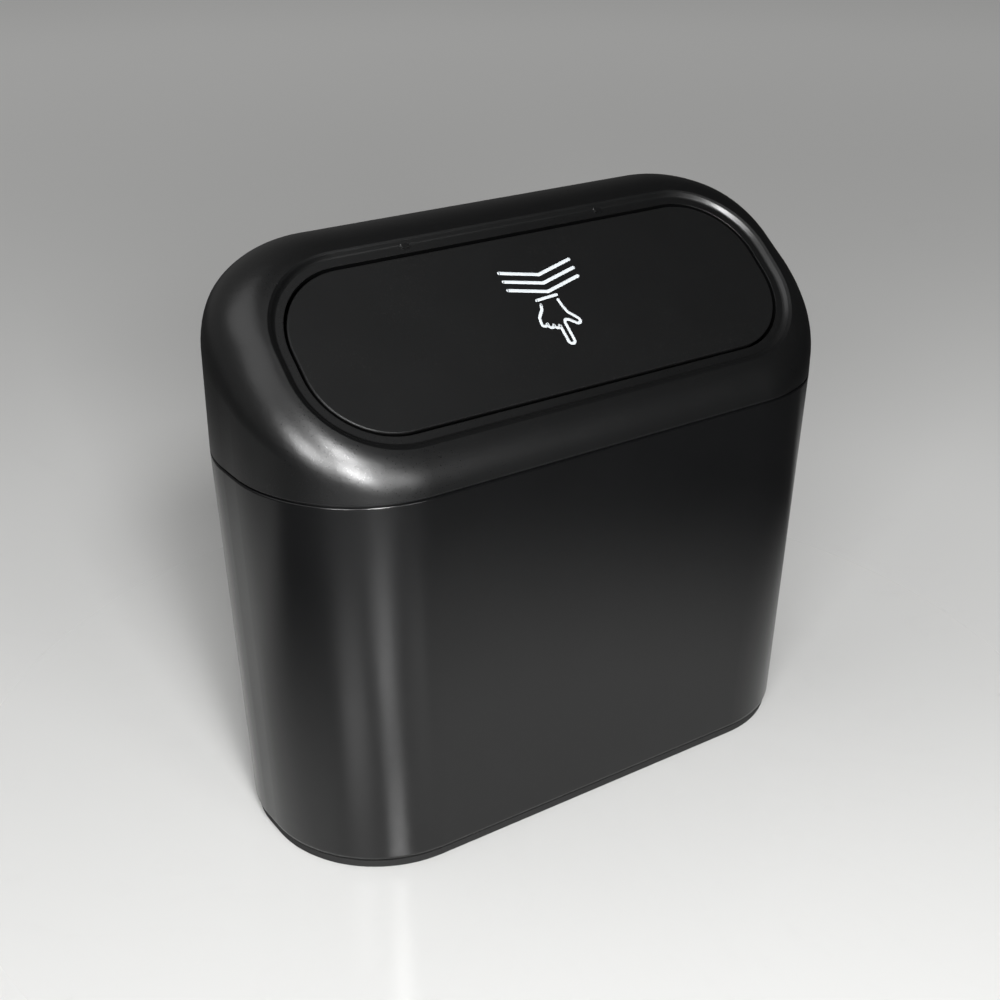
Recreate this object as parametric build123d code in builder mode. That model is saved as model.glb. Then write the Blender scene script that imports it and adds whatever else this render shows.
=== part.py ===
"""Small lidded waste bin for a car: a tapered bin, a lift-off cover with a sloping push-to-open lid,
and a hook on the back. Millimetres. X runs along the bin, -Y is the near face, +Z is up.
The origin is the middle of the foot, on the surface that the bin stands on."""
from build123d import *
from math import cos, pi, radians, sin, sqrt, tan
import os

os.makedirs("parts", exist_ok=True)

# Outline of bin and cover at the seam between them
seam_length = 200.0
seam_depth = 88.0
seam_corner = 40.0
seam_height = 123.7
seam_gap = 0.7

# Outline of the bin at its foot
foot_length = 190.5
foot_depth = 82.0
foot_corner = 37.5
foot_round = 1.5

# Walls
wall = 2.2
rim_round = 0.5

# Soft sole under the bin
sole_height = 2.6
sole_inset = 1.0
sole_gap = 0.6
sole_gap_depth = 2.0
sole_edge = 0.4
sole_peg_radius = 3.0
sole_peg_height = 1.6
sole_peg_x = 60.0
sole_peg_y = 18.0
tread_pitch = 11.0
tread_width = 3.0
tread_depth = 0.8
tread_count = 5
tread_length = 120.0

# Sloping lid: a flat panel that lies flush in the cover
lid_tilt = 39.4
lid_centre_y = -11.3
lid_centre_z = 155.3
lid_length = 164.0
lid_width = 54.0
lid_corner = 23.0
lid_end_flat = 0.5
lid_gap = 0.9
panel_thickness = 2.2
panel_chamfer = 0.35
panel_skirt_depth = 4.0
panel_skirt_wall = 1.4
panel_skirt_inset = 0.8
panel_draft = 0.5
arm_notch = 0.4
liner_thickness = 1.6
liner_gap = 0.15

# Ring of the cover round the lid: a narrow ledge level with the lid, a soft step up, then the large roll
ledge_width = 2.7
step_run = 1.1
step_shoulder = 1.1
shoulder_run = 1.6
step_rise = 1.6
step_round = 1.0
step_cut_over = 0.15
mouth_depth = 20.0
seam_chamfer = 0.25
lip_depth = 3.0
lip_wall = 1.4

# Large roll of the cover: its start beyond the lid's outline, how full it is, and its run down the wall,
# which grows from front to rear along the two ends
roll_start_front = 5.1
roll_start_end = 4.2
roll_start_rear = 2.1
roll_full_front = 0.63
roll_full_end = 0.51
roll_full_rear = 0.385
roll_drop_end = 20.7
roll_drop_slope = 0.45

# Gooseneck hinge under the rear of the ring, measured from the lid's rear edge and from its top face
hinge_setback = 7.6
hinge_drop = 4.6
hinge_x = 44.0
pin_radius = 1.0
pin_fit = 0.05
pin_edge = 0.2
barrel_radius = 2.2
barrel_length = 5.0
ear_thickness = 2.5
ear_radius = 3.0
spring_ear_radius = 5.2
spring_peg_radius = 1.0
spring_peg_height = 2.4
ear_gap = 0.3
spring_room = 5.2
throat_radius = 8.2
arm_thickness = 3.0
arm_rear = 1.2

# Torsion springs on the hinge pins
torsion_mean_radius = 1.8
torsion_wire_radius = 0.3
torsion_pitch = 1.05
torsion_turns = 3.625
torsion_leg = 6.5

# Frame inside the cover: a skirt that plugs into the bin and holds the rim of the bag
plug_clearance = 0.9
plug_slide = 0.3
plug_depth = 11.5
plug_wall = 1.8
flange_inset = 1.0
collar_clearance = 0.8
collar_height = 1.4
boss_radius = 3.2
boss_reach = 31.0
boss_angle = 45.0
boss_height = 12.0
boss_lift = 2.0
tab_radius = 4.4

# Self-tapping screws, all with a flat head
screw_radius = 1.1
screw_hole_gap = 0.05
screw_head_radius = 2.1
screw_head_height = 1.2
frame_screw_length = 8.0
lid_screw_length = 3.0
lid_screw_x = 66.0
lid_screw_y = 12.0
latch_screw_length = 3.6
screw_edge = 0.3

# Push latch under the front edge of the lid, square to the lid
latch_from_edge = 8.6
latch_travel = 1.9
strike_thickness = 0.8
strike_length = 16.0
strike_width = 9.0
strike_gap = 0.15
strike_corner = 1.0
strike_seat_corner = 2.0
rivet_x = 5.6
rivet_head_height = 0.6
magnet_radius = 2.8
magnet_height = 2.0
cup_radius = 3.8
cup_height = 3.0
plunger_radius = 2.4
plunger_gap = 0.3
plunger_length = 12.0
housing_radius = 4.6
housing_length = 21.0
housing_flange_length = 22.0
housing_flange_width = 13.0
housing_flange_thickness = 1.6
housing_flange_corner = 2.5
housing_edge = 0.5
housing_nose = 2.6
latch_screw_x = 8.0
cap_height = 1.6
cap_gap = 0.1
latch_spring_mean_radius = 1.7
latch_spring_wire_radius = 0.25
latch_spring_turns = 5.0
bracket_width = 26.0
bracket_plate = 2.0

# Hook on the back of the bin
hook_width = 30.0
hook_plate = 2.6
hook_bottom = 74.0
hook_top = 118.0
hook_gap = 12.0
hook_drop = 30.0
hook_corner = 3.0
hook_tip_corner = 4.0
rail_gap = 0.3
rail_wall = 2.0
rail_lip = 3.0
rail_top = 108.0
hook_standoff = 1.0
pad_thickness = 1.2
pad_width = 20.0
pad_length = 16.0
pad_corner = 2.0
pad_edge = 0.3
pad_below_bend = 2.0

tilt = radians(lid_tilt)
lid_plane = Plane(origin=(0, lid_centre_y, lid_centre_z), x_dir=(1, 0, 0), z_dir=(0, -sin(tilt), cos(tilt)))
rim_height = seam_height - seam_gap / 2
cover_bottom = seam_height + seam_gap / 2
lid_round = min(lid_corner, lid_width / 2 - lid_end_flat)
floor_bottom = sole_height
plinth_top = sole_height + sole_gap


def on_slope(along, above):
    """World (y, z) of a point given up the slope from the lid's centre and square to the lid's face."""
    y = lid_centre_y + along * cos(tilt) - above * sin(tilt)
    z = lid_centre_z + along * sin(tilt) + above * cos(tilt)
    return y, z


def bin_outline(height, inset):
    """Length, depth and corner radius of the bin's outline at a height, drawn in by an inset."""
    share = (height - sole_height) / (seam_height - sole_height)
    length = foot_length + (seam_length - foot_length) * share - 2 * inset
    depth = foot_depth + (seam_depth - foot_depth) * share - 2 * inset
    corner = foot_corner + (seam_corner - foot_corner) * share - inset
    return length, depth, corner


def bin_form(low, high, inset):
    """Tapered solid between two heights, with the bin's outline drawn in by an inset."""
    with BuildPart() as form:
        for height in (low, high):
            with BuildSketch(Plane.XY.offset(height)):
                RectangleRounded(*bin_outline(height, inset))
        loft(ruled=True)
    return form.part


def seam_outline(inset):
    """Length, depth and corner radius of the seam's outline, drawn in by an inset."""
    return seam_length - 2 * inset, seam_depth - 2 * inset, seam_corner - inset


def edge_height(y, rise):
    """Height where a vertical wall at y meets a plane that lies a rise above the lid's face."""
    return lid_centre_z + (rise + (y - lid_centre_y) * sin(tilt)) / cos(tilt)


def roll_column(side_x, side_y, outward, over, inset):
    """Control points down the roll and the wall at one place of a corner: ring, two pulls, side, foot.
    The place is given in corner radii from the corner's centre, toward the end and toward the long side."""
    start, full = (roll_start_rear, roll_full_rear) if side_y > 0 else (roll_start_front, roll_full_front)
    ring_x = side_x * (lid_length / 2 - lid_round + outward * (lid_round + roll_start_end))
    ring_y, ring_z = on_slope(side_y * (lid_width / 2 - lid_round + over * (lid_round + start)), step_rise - inset)
    wall_x = side_x * (seam_length / 2 - seam_corner + outward * (seam_corner - inset))
    wall_y = side_y * (seam_depth / 2 - seam_corner + over * (seam_corner - inset))
    outer_y = side_y * (seam_depth / 2 - seam_corner + over * seam_corner)
    if over < outward:
        full = roll_full_end
        drop = roll_drop_end + roll_drop_slope * outer_y
    else:
        side_ring_y = on_slope(side_y * (lid_width / 2 + start), step_rise)[0]
        drop = abs(side_y * seam_depth / 2 - side_ring_y) / cos(tilt)
    ring = Vector(ring_x, ring_y, ring_z)
    edge = Vector(wall_x, wall_y, edge_height(wall_y, step_rise - inset))
    side = Vector(wall_x, wall_y, edge_height(outer_y, step_rise) - drop)
    foot = Vector(wall_x, wall_y, cover_bottom - 2 * wall)
    return [ring, ring + (edge - ring) * full, side + (edge - side) * full, side, foot]


def cover_form(inset):
    """Cover's form drawn in by an inset, down to a little below the seam: a flat sloping ring, the roll and
    the upright wall, as one closed skin. Each corner is two eighth turns, whose shared column is the mean
    of its neighbours."""
    pull = tan(pi / 8)
    corners = []
    for side_x, side_y in ((1, -1), (1, 1), (-1, 1), (-1, -1)):
        places = ((1, 0), (1, pull), (pull, 1), (0, 1))
        end, end_pull, long_pull, long = (
            roll_column(side_x, side_y, outward, over, inset) for outward, over in places
        )
        middle = [(first + second) * 0.5 for first, second in zip(end_pull, long_pull)]
        columns = [end, end_pull, middle, long_pull, long]
        corners.append(columns if side_x * side_y > 0 else columns[::-1])
    strips = []
    for columns, next_columns in zip(corners, corners[1:] + corners[:1]):
        strips.extend([(columns[:3], True), (columns[2:], True), ([columns[-1], next_columns[0]], False)])
    skin, ring_edges, foot_edges = [], [], []
    for columns, turning in strips:
        weights = [1, cos(pi / 8), 1] if turning else [1, 1]
        skin.append(Face.make_bezier_surface([column[:4] for column in columns], [[w] * 4 for w in weights]))
        skin.append(Face.make_bezier_surface([column[3:] for column in columns], [[w] * 2 for w in weights]))
        ring_edges.append(Edge.make_bezier(*[column[0] for column in columns], weights=weights))
        foot_edges.append(Edge.make_bezier(*[column[-1] for column in columns], weights=weights))
    return Solid(Shell([*skin, Face(Wire(ring_edges)), Face(Wire(foot_edges))]))


def lid_outline(growth):
    """Length, width and corner radius of the lid's outline, grown by a margin."""
    return lid_length + 2 * growth, lid_width + 2 * growth, lid_round + growth


def helix_point(radius, pitch, angle):
    """Point and unit tangent on a helix about the local Z axis, at an angle in radians."""
    point = Vector(radius * cos(angle), radius * sin(angle), pitch * angle / (2 * pi))
    rise = pitch / (2 * pi)
    tangent = Vector(-radius * sin(angle), radius * cos(angle), rise).normalized()
    return point, tangent


def biarc_middle(p0, t0, p1, t1):
    """Meeting point and direction of two arcs that join p0 to p1 with the given tangents."""
    span = p1 - p0
    both = t0 + t1
    bend = 2 * (1 - t0.dot(t1))
    reach = (-span.dot(both) + sqrt(span.dot(both) ** 2 + bend * span.dot(span))) / bend
    middle = (p0 + t0 * reach + p1 - t1 * reach) * 0.5
    direction = (p1 - t1 * reach - p0 - t0 * reach).normalized()
    return middle, direction


def coil_nodes(radius, pitch, turns):
    """Points and tangents of a helix, about a quarter turn apart."""
    count = round(turns * 4)
    return [helix_point(radius, pitch, 2 * pi * turns * step / count) for step in range(count + 1)]


def least_coil_gap(radius, pitch, turns, wire_radius):
    """Smallest distance between the wire's surfaces in neighbouring turns, measured on points."""
    steps = 48
    points = [helix_point(radius, pitch, 2 * pi * k / steps)[0] for k in range(round(turns * steps) + 1)]
    gaps = []
    for k, point in enumerate(points):
        for other in points[k + steps // 2:]:
            gaps.append((other - point).length - 2 * wire_radius)
    return min(gaps)


def placed_nodes(plane, nodes):
    """Points and tangents given on a plane, as world points and tangents."""
    return [
        (plane.from_local_coords(point), plane.from_local_coords(tangent) - plane.origin)
        for point, tangent in nodes
    ]


def lay_coil(nodes):
    """Draw the biarcs through a list of points and tangents in the line context that is open."""
    for (p0, t0), (p1, t1) in zip(nodes, nodes[1:]):
        middle, direction = biarc_middle(p0, t0, p1, t1)
        TangentArc(p0, middle, tangent=t0)
        TangentArc(middle, p1, tangent=direction)


# Bin: a tapered shell with a flat floor, open at the top, with a rail for the hook on its back
rail_face = seam_depth / 2 + hook_standoff
rail_outer = hook_width / 2 + rail_gap + rail_wall
rail_back = rail_face + hook_plate + 2 * rail_gap + rail_wall
body_outer = bin_form(plinth_top, rim_height, 0)
body_inner = bin_form(plinth_top + wall, rim_height + 1, wall)
with BuildPart() as body_shell:
    add(body_outer)
    fillet(body_shell.faces().sort_by(Axis.Z)[0].edges(), radius=foot_round)
    with BuildSketch(Plane.XY.offset(floor_bottom)):
        RectangleRounded(*bin_outline(plinth_top, sole_gap_depth + foot_round))
    extrude(amount=sole_gap + foot_round)
    with BuildSketch(Plane.XY.offset(hook_bottom)):
        with Locations((0, (foot_depth / 2 + rail_back) / 2)):
            Rectangle(2 * rail_outer, rail_back - foot_depth / 2)
    extrude(amount=rail_top - hook_bottom)
    rail_bottom_edges = body_shell.edges().filter_by(Axis.X).group_by(Axis.Y)[-1]
    fillet(rail_bottom_edges.sort_by(Axis.Z)[:1], radius=rail_wall)
    with BuildSketch(Plane.XY.offset(hook_bottom + rail_wall)):
        with Locations((0, rail_face + hook_plate / 2 + rail_gap)):
            Rectangle(hook_width + 2 * rail_gap, hook_plate + 2 * rail_gap)
        with Locations((0, rail_back)):
            Rectangle(hook_width - 2 * rail_lip, 2 * rail_wall + 1)
    extrude(amount=rail_top, mode=Mode.SUBTRACT)
    add(body_inner, mode=Mode.SUBTRACT)
    with BuildSketch(Plane.XY.offset(floor_bottom)):
        with GridLocations(2 * sole_peg_x, 2 * sole_peg_y, 2, 2):
            Circle(sole_peg_radius)
    extrude(amount=-sole_peg_height)
    fillet(body_shell.edges().group_by(Axis.Z)[-1], radius=rim_round)
body_shell.part.label = "body_shell"
export_step(body_shell.part, "parts/body_shell.step")

# Sole: a soft plate on pegs under the floor, set in a little, with a grooved tread
with BuildPart() as sole_pad:
    with BuildSketch():
        RectangleRounded(*bin_outline(sole_height, sole_inset))
    extrude(amount=sole_height)
    chamfer(sole_pad.edges().group_by(Axis.Z)[0], length=sole_edge)
    with BuildSketch(Plane.XY.offset(sole_height - sole_peg_height)):
        with GridLocations(2 * sole_peg_x, 2 * sole_peg_y, 2, 2):
            Circle(sole_peg_radius + pin_fit)
    extrude(amount=sole_peg_height, mode=Mode.SUBTRACT)
    with BuildSketch():
        with GridLocations(0, tread_pitch, 1, tread_count):
            SlotOverall(tread_length, tread_width)
    extrude(amount=tread_depth, mode=Mode.SUBTRACT)
sole_pad.part.label = "sole_pad"
export_step(sole_pad.part, "parts/sole_pad.step")

# Cover: a rolled shell with a sloping mouth, a ledge round the mouth, hinge ears and screw bosses
hinge_along = lid_width / 2 + hinge_setback
hinge_y, hinge_z = on_slope(hinge_along, -hinge_drop)
ear_outer_x = hinge_x + barrel_length / 2 + ear_gap
ear_inner_x = hinge_x - barrel_length / 2 - ear_gap - spring_room
boss_x = seam_length / 2 - seam_corner + boss_reach * cos(radians(boss_angle))
boss_y = seam_depth / 2 - seam_corner + boss_reach * sin(radians(boss_angle))
boss_bottom = cover_bottom + boss_lift
cover_outer = cover_form(0)
cover_inner = cover_form(wall)
cover_middle = cover_form(wall / 2)


def hinge_plane(x):
    """Plane across the hinge at an x: its x axis runs up the slope, its y axis out of the lid's face."""
    return Plane(origin=(x, hinge_y, hinge_z), x_dir=(0, cos(tilt), sin(tilt)), z_dir=(1, 0, 0))


leg_lean = 2 * pi * torsion_turns
leg_out = Vector(cos(leg_lean), sin(leg_lean))
leg_along = Vector(-sin(leg_lean), cos(leg_lean))
peg_reach = torsion_mean_radius - torsion_wire_radius - spring_peg_radius - pin_fit
spring_peg_vector = leg_out * peg_reach + leg_along * (torsion_leg - spring_peg_radius)
spring_peg_at = (spring_peg_vector.X, spring_peg_vector.Y)
with BuildPart() as cover_inside_work:
    for side in (-1, 1):
        for low_x, radius in ((ear_outer_x, ear_radius), (ear_inner_x - ear_thickness, spring_ear_radius)):
            start_x = low_x if side > 0 else -low_x - ear_thickness
            with BuildSketch(hinge_plane(start_x)):
                Circle(radius)
                with Locations((0, ear_radius)):
                    Rectangle(2 * radius, 2 * ear_radius)
            extrude(amount=ear_thickness)
        with BuildSketch(hinge_plane(side * ear_inner_x)):
            with Locations(spring_peg_at):
                Circle(spring_peg_radius)
        extrude(amount=side * spring_peg_height)
    with BuildSketch(Plane.XY.offset(boss_bottom)):
        with GridLocations(2 * boss_x, 2 * boss_y, 2, 2):
            Circle(boss_radius)
        for side_x in (-1, 1):
            for side_y in (-1, 1):
                with Locations(Location((side_x * boss_x, side_y * boss_y), side_x * side_y * boss_angle)):
                    with Locations((side_x * (seam_corner - boss_reach) / 2, 0)):
                        Rectangle(seam_corner - boss_reach, wall)
    extrude(amount=boss_height)
    add(cover_middle, mode=Mode.INTERSECT)

with BuildPart() as seam_trim:
    for height, inset in ((0, seam_chamfer), (wall + seam_chamfer, -wall)):
        with BuildSketch(Plane.XY.offset(cover_bottom + height)):
            RectangleRounded(*seam_outline(inset))
    loft(ruled=True)
    with BuildSketch(Plane.XY.offset(cover_bottom + wall + seam_chamfer)):
        RectangleRounded(*seam_outline(-wall))
    extrude(amount=seam_depth)

step_growth = lid_gap + ledge_width
step_stages = ((0, 0), (step_shoulder, step_run), (step_rise + step_cut_over, step_run + shoulder_run))
with BuildPart() as top_cover:
    add(cover_outer)
    add(seam_trim.part, mode=Mode.INTERSECT)
    for height, run in step_stages:
        with BuildSketch(lid_plane.offset(height)):
            RectangleRounded(*lid_outline(step_growth + run))
    loft(ruled=True, mode=Mode.SUBTRACT)
    fillet(top_cover.faces().filter_by(lid_plane).sort_by(SortBy.AREA)[-1].edges(), radius=step_round)
    add(cover_inner, mode=Mode.SUBTRACT)
    with BuildSketch(lid_plane):
        RectangleRounded(*lid_outline(step_growth + step_run))
        RectangleRounded(*lid_outline(lid_gap), mode=Mode.SUBTRACT)
    extrude(amount=-wall)
    with BuildSketch(lid_plane.offset(-wall)):
        RectangleRounded(*lid_outline(lid_gap + lip_wall))
        RectangleRounded(*lid_outline(lid_gap), mode=Mode.SUBTRACT)
        with Locations((0, lid_width / 2)):
            Rectangle(2 * lid_length, 2 * lid_corner, mode=Mode.SUBTRACT)
    extrude(amount=-lip_depth)
    add(cover_inside_work.part)
    with BuildSketch(lid_plane.offset(-wall - lip_depth)):
        RectangleRounded(*lid_outline(lid_gap))
    extrude(amount=mouth_depth, mode=Mode.SUBTRACT)
    for start_x in (ear_inner_x - ear_thickness, -ear_outer_x - ear_thickness):
        with BuildSketch(hinge_plane(start_x)):
            Circle(pin_radius + pin_fit)
        extrude(amount=ear_outer_x - ear_inner_x + 2 * ear_thickness, mode=Mode.SUBTRACT)
    with BuildSketch(Plane.XY.offset(boss_bottom)):
        with GridLocations(2 * boss_x, 2 * boss_y, 2, 2):
            Circle(screw_radius + screw_hole_gap)
    extrude(amount=frame_screw_length - boss_lift, mode=Mode.SUBTRACT)
top_cover.part.label = "top_cover"
export_step(top_cover.part, "parts/top_cover.step")

# Frame: a ring under the cover with a thin flange between the rims, a skirt inside the bin,
# tabs under the screw bosses and a sloping bracket for the latch
bin_taper = max(seam_length - foot_length, seam_depth - foot_depth) / 2 / (seam_height - sole_height)
plug_inset = wall + max(plug_clearance, bin_taper * plug_depth + plug_slide)
plug_bottom = rim_height - plug_depth
latch_along = -lid_width / 2 + latch_from_edge
lid_underside = -panel_thickness - liner_thickness
strike_bottom = lid_underside - strike_thickness
magnet_top = strike_bottom - strike_gap
cup_top = magnet_top
cup_bottom = cup_top - cup_height
housing_top = cup_bottom - latch_travel - plunger_gap
seat_level = housing_top - housing_nose - housing_flange_thickness
housing_bottom = housing_top - housing_length
latch_hole_radius = housing_radius + cap_gap


def latch_plane(above):
    """Plane square to the latch's axis, at a height above the lid's face (negative below it)."""
    y, z = on_slope(latch_along, above)
    return Plane(origin=(0, y, z), x_dir=(1, 0, 0), z_dir=(0, -sin(tilt), cos(tilt)))


ring_inner = seam_depth / 2 - plug_inset - plug_wall
plate_front = on_slope(latch_along - housing_flange_width / 2, seat_level)
plate_rear = on_slope(latch_along + housing_flange_width / 2, seat_level)
plate_rear_under = on_slope(latch_along + housing_flange_width / 2, seat_level - bracket_plate)
plate_front_under = on_slope(latch_along - housing_flange_width / 2 + bracket_plate, seat_level - bracket_plate)
with BuildPart() as cover_frame:
    with BuildSketch(Plane.XY.offset(plug_bottom)):
        RectangleRounded(*seam_outline(plug_inset))
        RectangleRounded(*seam_outline(plug_inset + plug_wall), mode=Mode.SUBTRACT)
    extrude(amount=plug_depth)
    chamfer(cover_frame.edges().group_by(Axis.Z)[0], length=plug_wall / 4)
    with BuildSketch(Plane.XY.offset(rim_height)):
        RectangleRounded(*seam_outline(flange_inset))
        RectangleRounded(*seam_outline(plug_inset + plug_wall), mode=Mode.SUBTRACT)
    extrude(amount=seam_gap)
    with BuildSketch(Plane.XY.offset(cover_bottom)):
        RectangleRounded(*seam_outline(wall + collar_clearance))
        RectangleRounded(*seam_outline(plug_inset + plug_wall), mode=Mode.SUBTRACT)
    extrude(amount=collar_height)
    with BuildSketch(Plane.XY.offset(rim_height)):
        for side_x in (-1, 1):
            for side_y in (-1, 1):
                with Locations((side_x * boss_x, side_y * boss_y)):
                    Circle(tab_radius)
                corner_step = seam_corner - plug_inset - boss_reach
                with Locations(Location((side_x * boss_x, side_y * boss_y), side_x * side_y * boss_angle)):
                    with Locations((side_x * corner_step / 2, 0)):
                        Rectangle(corner_step, 2 * tab_radius)
    extrude(amount=seam_gap + boss_lift)
    with BuildSketch(Plane.XY.offset(rim_height - screw_head_height)):
        with GridLocations(2 * boss_x, 2 * boss_y, 2, 2):
            Circle(screw_radius + screw_hole_gap)
    extrude(amount=screw_head_height + seam_gap + boss_lift, mode=Mode.SUBTRACT)
    with BuildSketch(Plane.YZ.offset(-bracket_width / 2)):
        with BuildLine():
            Polyline(
                (-ring_inner - plug_wall / 2, rim_height - bracket_plate),
                (-ring_inner - plug_wall / 2, cover_bottom + collar_height / 2),
                (plate_front[0] - bracket_plate, cover_bottom + collar_height / 2),
                plate_front,
                plate_rear,
                plate_rear_under,
                plate_front_under,
                (plate_front_under[0], rim_height - bracket_plate),
                close=True,
            )
        make_face()
    extrude(amount=bracket_width)
    with BuildSketch(latch_plane(seat_level)):
        Circle(latch_hole_radius)
    extrude(amount=-2 * housing_flange_width, mode=Mode.SUBTRACT)
    with BuildSketch(latch_plane(seat_level)):
        with GridLocations(2 * latch_screw_x, 1, 2, 1):
            Circle(screw_radius + screw_hole_gap)
    extrude(amount=-bracket_plate, mode=Mode.SUBTRACT)
cover_frame.part.label = "cover_frame"
export_step(cover_frame.part, "parts/cover_frame.step")

# Screws up through the frame's tabs into the cover's bosses
with BuildPart() as frame_screws:
    with BuildSketch(Plane.XY.offset(rim_height)):
        with GridLocations(2 * boss_x, 2 * boss_y, 2, 2):
            Circle(screw_radius)
    extrude(amount=frame_screw_length)
    with BuildSketch(Plane.XY.offset(rim_height)):
        with GridLocations(2 * boss_x, 2 * boss_y, 2, 2):
            Circle(screw_head_radius)
    extrude(amount=-screw_head_height)
    chamfer(frame_screws.edges().group_by(Axis.Z)[0], length=screw_edge)
frame_screws.part.label = "frame_screws"
export_step(frame_screws.part, "parts/frame_screws.step")

# Latch housing: a tube with a screw flange, bored for the plunger and its spring
bore_radius = plunger_radius + plunger_gap
with BuildPart() as latch_housing:
    with BuildSketch(latch_plane(housing_bottom)):
        Circle(housing_radius)
    extrude(amount=housing_length)
    chamfer(latch_housing.faces().filter_by(lid_plane).sort_by(Axis.Z)[-1].edges(), length=housing_edge)
    with BuildSketch(latch_plane(seat_level)):
        RectangleRounded(housing_flange_length, housing_flange_width, housing_flange_corner)
    extrude(amount=housing_flange_thickness)
    with BuildSketch(latch_plane(housing_bottom)):
        Circle(bore_radius)
    extrude(amount=housing_length, mode=Mode.SUBTRACT)
    with BuildSketch(latch_plane(seat_level)):
        with GridLocations(2 * latch_screw_x, 1, 2, 1):
            Circle(screw_radius + screw_hole_gap)
    extrude(amount=housing_flange_thickness, mode=Mode.SUBTRACT)
latch_housing.part.label = "latch_housing"
export_step(latch_housing.part, "parts/latch_housing.step")

# Cap that closes the bottom of the housing and carries the spring
with BuildPart() as latch_cap:
    with BuildSketch(latch_plane(housing_bottom - cap_height)):
        Circle(housing_radius)
    extrude(amount=cap_height)
    with BuildSketch(latch_plane(housing_bottom)):
        Circle(bore_radius - cap_gap)
    extrude(amount=cap_height)
latch_cap.part.label = "latch_cap"
export_step(latch_cap.part, "parts/latch_cap.step")

# Screws of the latch housing
with BuildPart() as latch_screws:
    with BuildSketch(latch_plane(seat_level + housing_flange_thickness)):
        with GridLocations(2 * latch_screw_x, 1, 2, 1):
            Circle(screw_head_radius)
    extrude(amount=screw_head_height)
    with BuildSketch(latch_plane(seat_level + housing_flange_thickness)):
        with GridLocations(2 * latch_screw_x, 1, 2, 1):
            Circle(screw_radius)
    extrude(amount=-latch_screw_length)
latch_screws.part.label = "latch_screws"
export_step(latch_screws.part, "parts/latch_screws.step")

# Plunger: a rod with a cup on top that holds the magnet
plunger_bottom = cup_bottom - plunger_length
magnet_bottom = magnet_top - magnet_height
with BuildPart() as latch_plunger:
    with BuildSketch(latch_plane(plunger_bottom)):
        Circle(plunger_radius)
    extrude(amount=plunger_length)
    with BuildSketch(latch_plane(cup_bottom)):
        Circle(cup_radius)
    extrude(amount=cup_height)
    with BuildSketch(latch_plane(magnet_bottom)):
        Circle(magnet_radius + pin_fit)
    extrude(amount=magnet_height, mode=Mode.SUBTRACT)
latch_plunger.part.label = "latch_plunger"
export_step(latch_plunger.part, "parts/latch_plunger.step")

# Magnet in the plunger's cup
with BuildPart() as latch_magnet:
    with BuildSketch(latch_plane(magnet_bottom)):
        Circle(magnet_radius)
    extrude(amount=magnet_height)
latch_magnet.part.label = "latch_magnet"
export_step(latch_magnet.part, "parts/latch_magnet.step")

# Spring under the plunger: one wire, its turns drawn as pairs of arcs
spring_bottom = housing_bottom + cap_height + latch_spring_wire_radius
spring_top = plunger_bottom - latch_spring_wire_radius
spring_pitch = (spring_top - spring_bottom) / latch_spring_turns
with BuildPart() as latch_spring:
    with BuildLine() as spring_line:
        turns = coil_nodes(latch_spring_mean_radius, spring_pitch, latch_spring_turns)
        lay_coil(placed_nodes(latch_plane(spring_bottom), turns))
    with BuildSketch(Plane(origin=spring_line.line @ 0, z_dir=spring_line.line % 0)):
        Circle(latch_spring_wire_radius)
    sweep(path=spring_line.line)
latch_spring.part.label = "latch_spring"
export_step(latch_spring.part, "parts/latch_spring.step")
print("least gap in the latch spring", round(
    least_coil_gap(latch_spring_mean_radius, spring_pitch, latch_spring_turns, latch_spring_wire_radius), 3))

# Pins of the two hinges
pin_length = barrel_length + 2 * ear_gap + spring_room + 2 * ear_thickness
with BuildPart() as hinge_pins:
    for start_x in (ear_inner_x - ear_thickness, -ear_outer_x - ear_thickness):
        with BuildSketch(hinge_plane(start_x)):
            Circle(pin_radius)
        extrude(amount=pin_length)
    chamfer(hinge_pins.edges(), length=pin_edge)
hinge_pins.part.label = "hinge_pins"
export_step(hinge_pins.part, "parts/hinge_pins.step")

# Torsion springs: a coil on the pin with one leg against the ear and one behind the arm
coil_start = hinge_x - barrel_length / 2 - ear_gap - torsion_wire_radius
for side, name in ((-1, "torsion_spring_left"), (1, "torsion_spring_right")):
    with BuildPart() as torsion_spring:
        with BuildLine() as torsion_line:
            turns = coil_nodes(torsion_mean_radius, -torsion_pitch, torsion_turns)
            nodes = placed_nodes(hinge_plane(coil_start), turns)
            (first, first_tangent), (last, last_tangent) = nodes[0], nodes[-1]
            Line(first - first_tangent * torsion_leg, first)
            lay_coil(nodes)
            Line(last, last + last_tangent * torsion_leg)
        with BuildSketch(Plane(origin=torsion_line.line @ 0, z_dir=torsion_line.line % 0)):
            Circle(torsion_wire_radius)
        sweep(path=torsion_line.line)
        if side < 0:
            mirror(about=Plane.YZ, mode=Mode.REPLACE)
    torsion_spring.part.label = name
    export_step(torsion_spring.part, f"parts/{name}.step")
print("least gap in the torsion springs", round(
    least_coil_gap(torsion_mean_radius, torsion_pitch, torsion_turns, torsion_wire_radius), 3))

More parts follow.
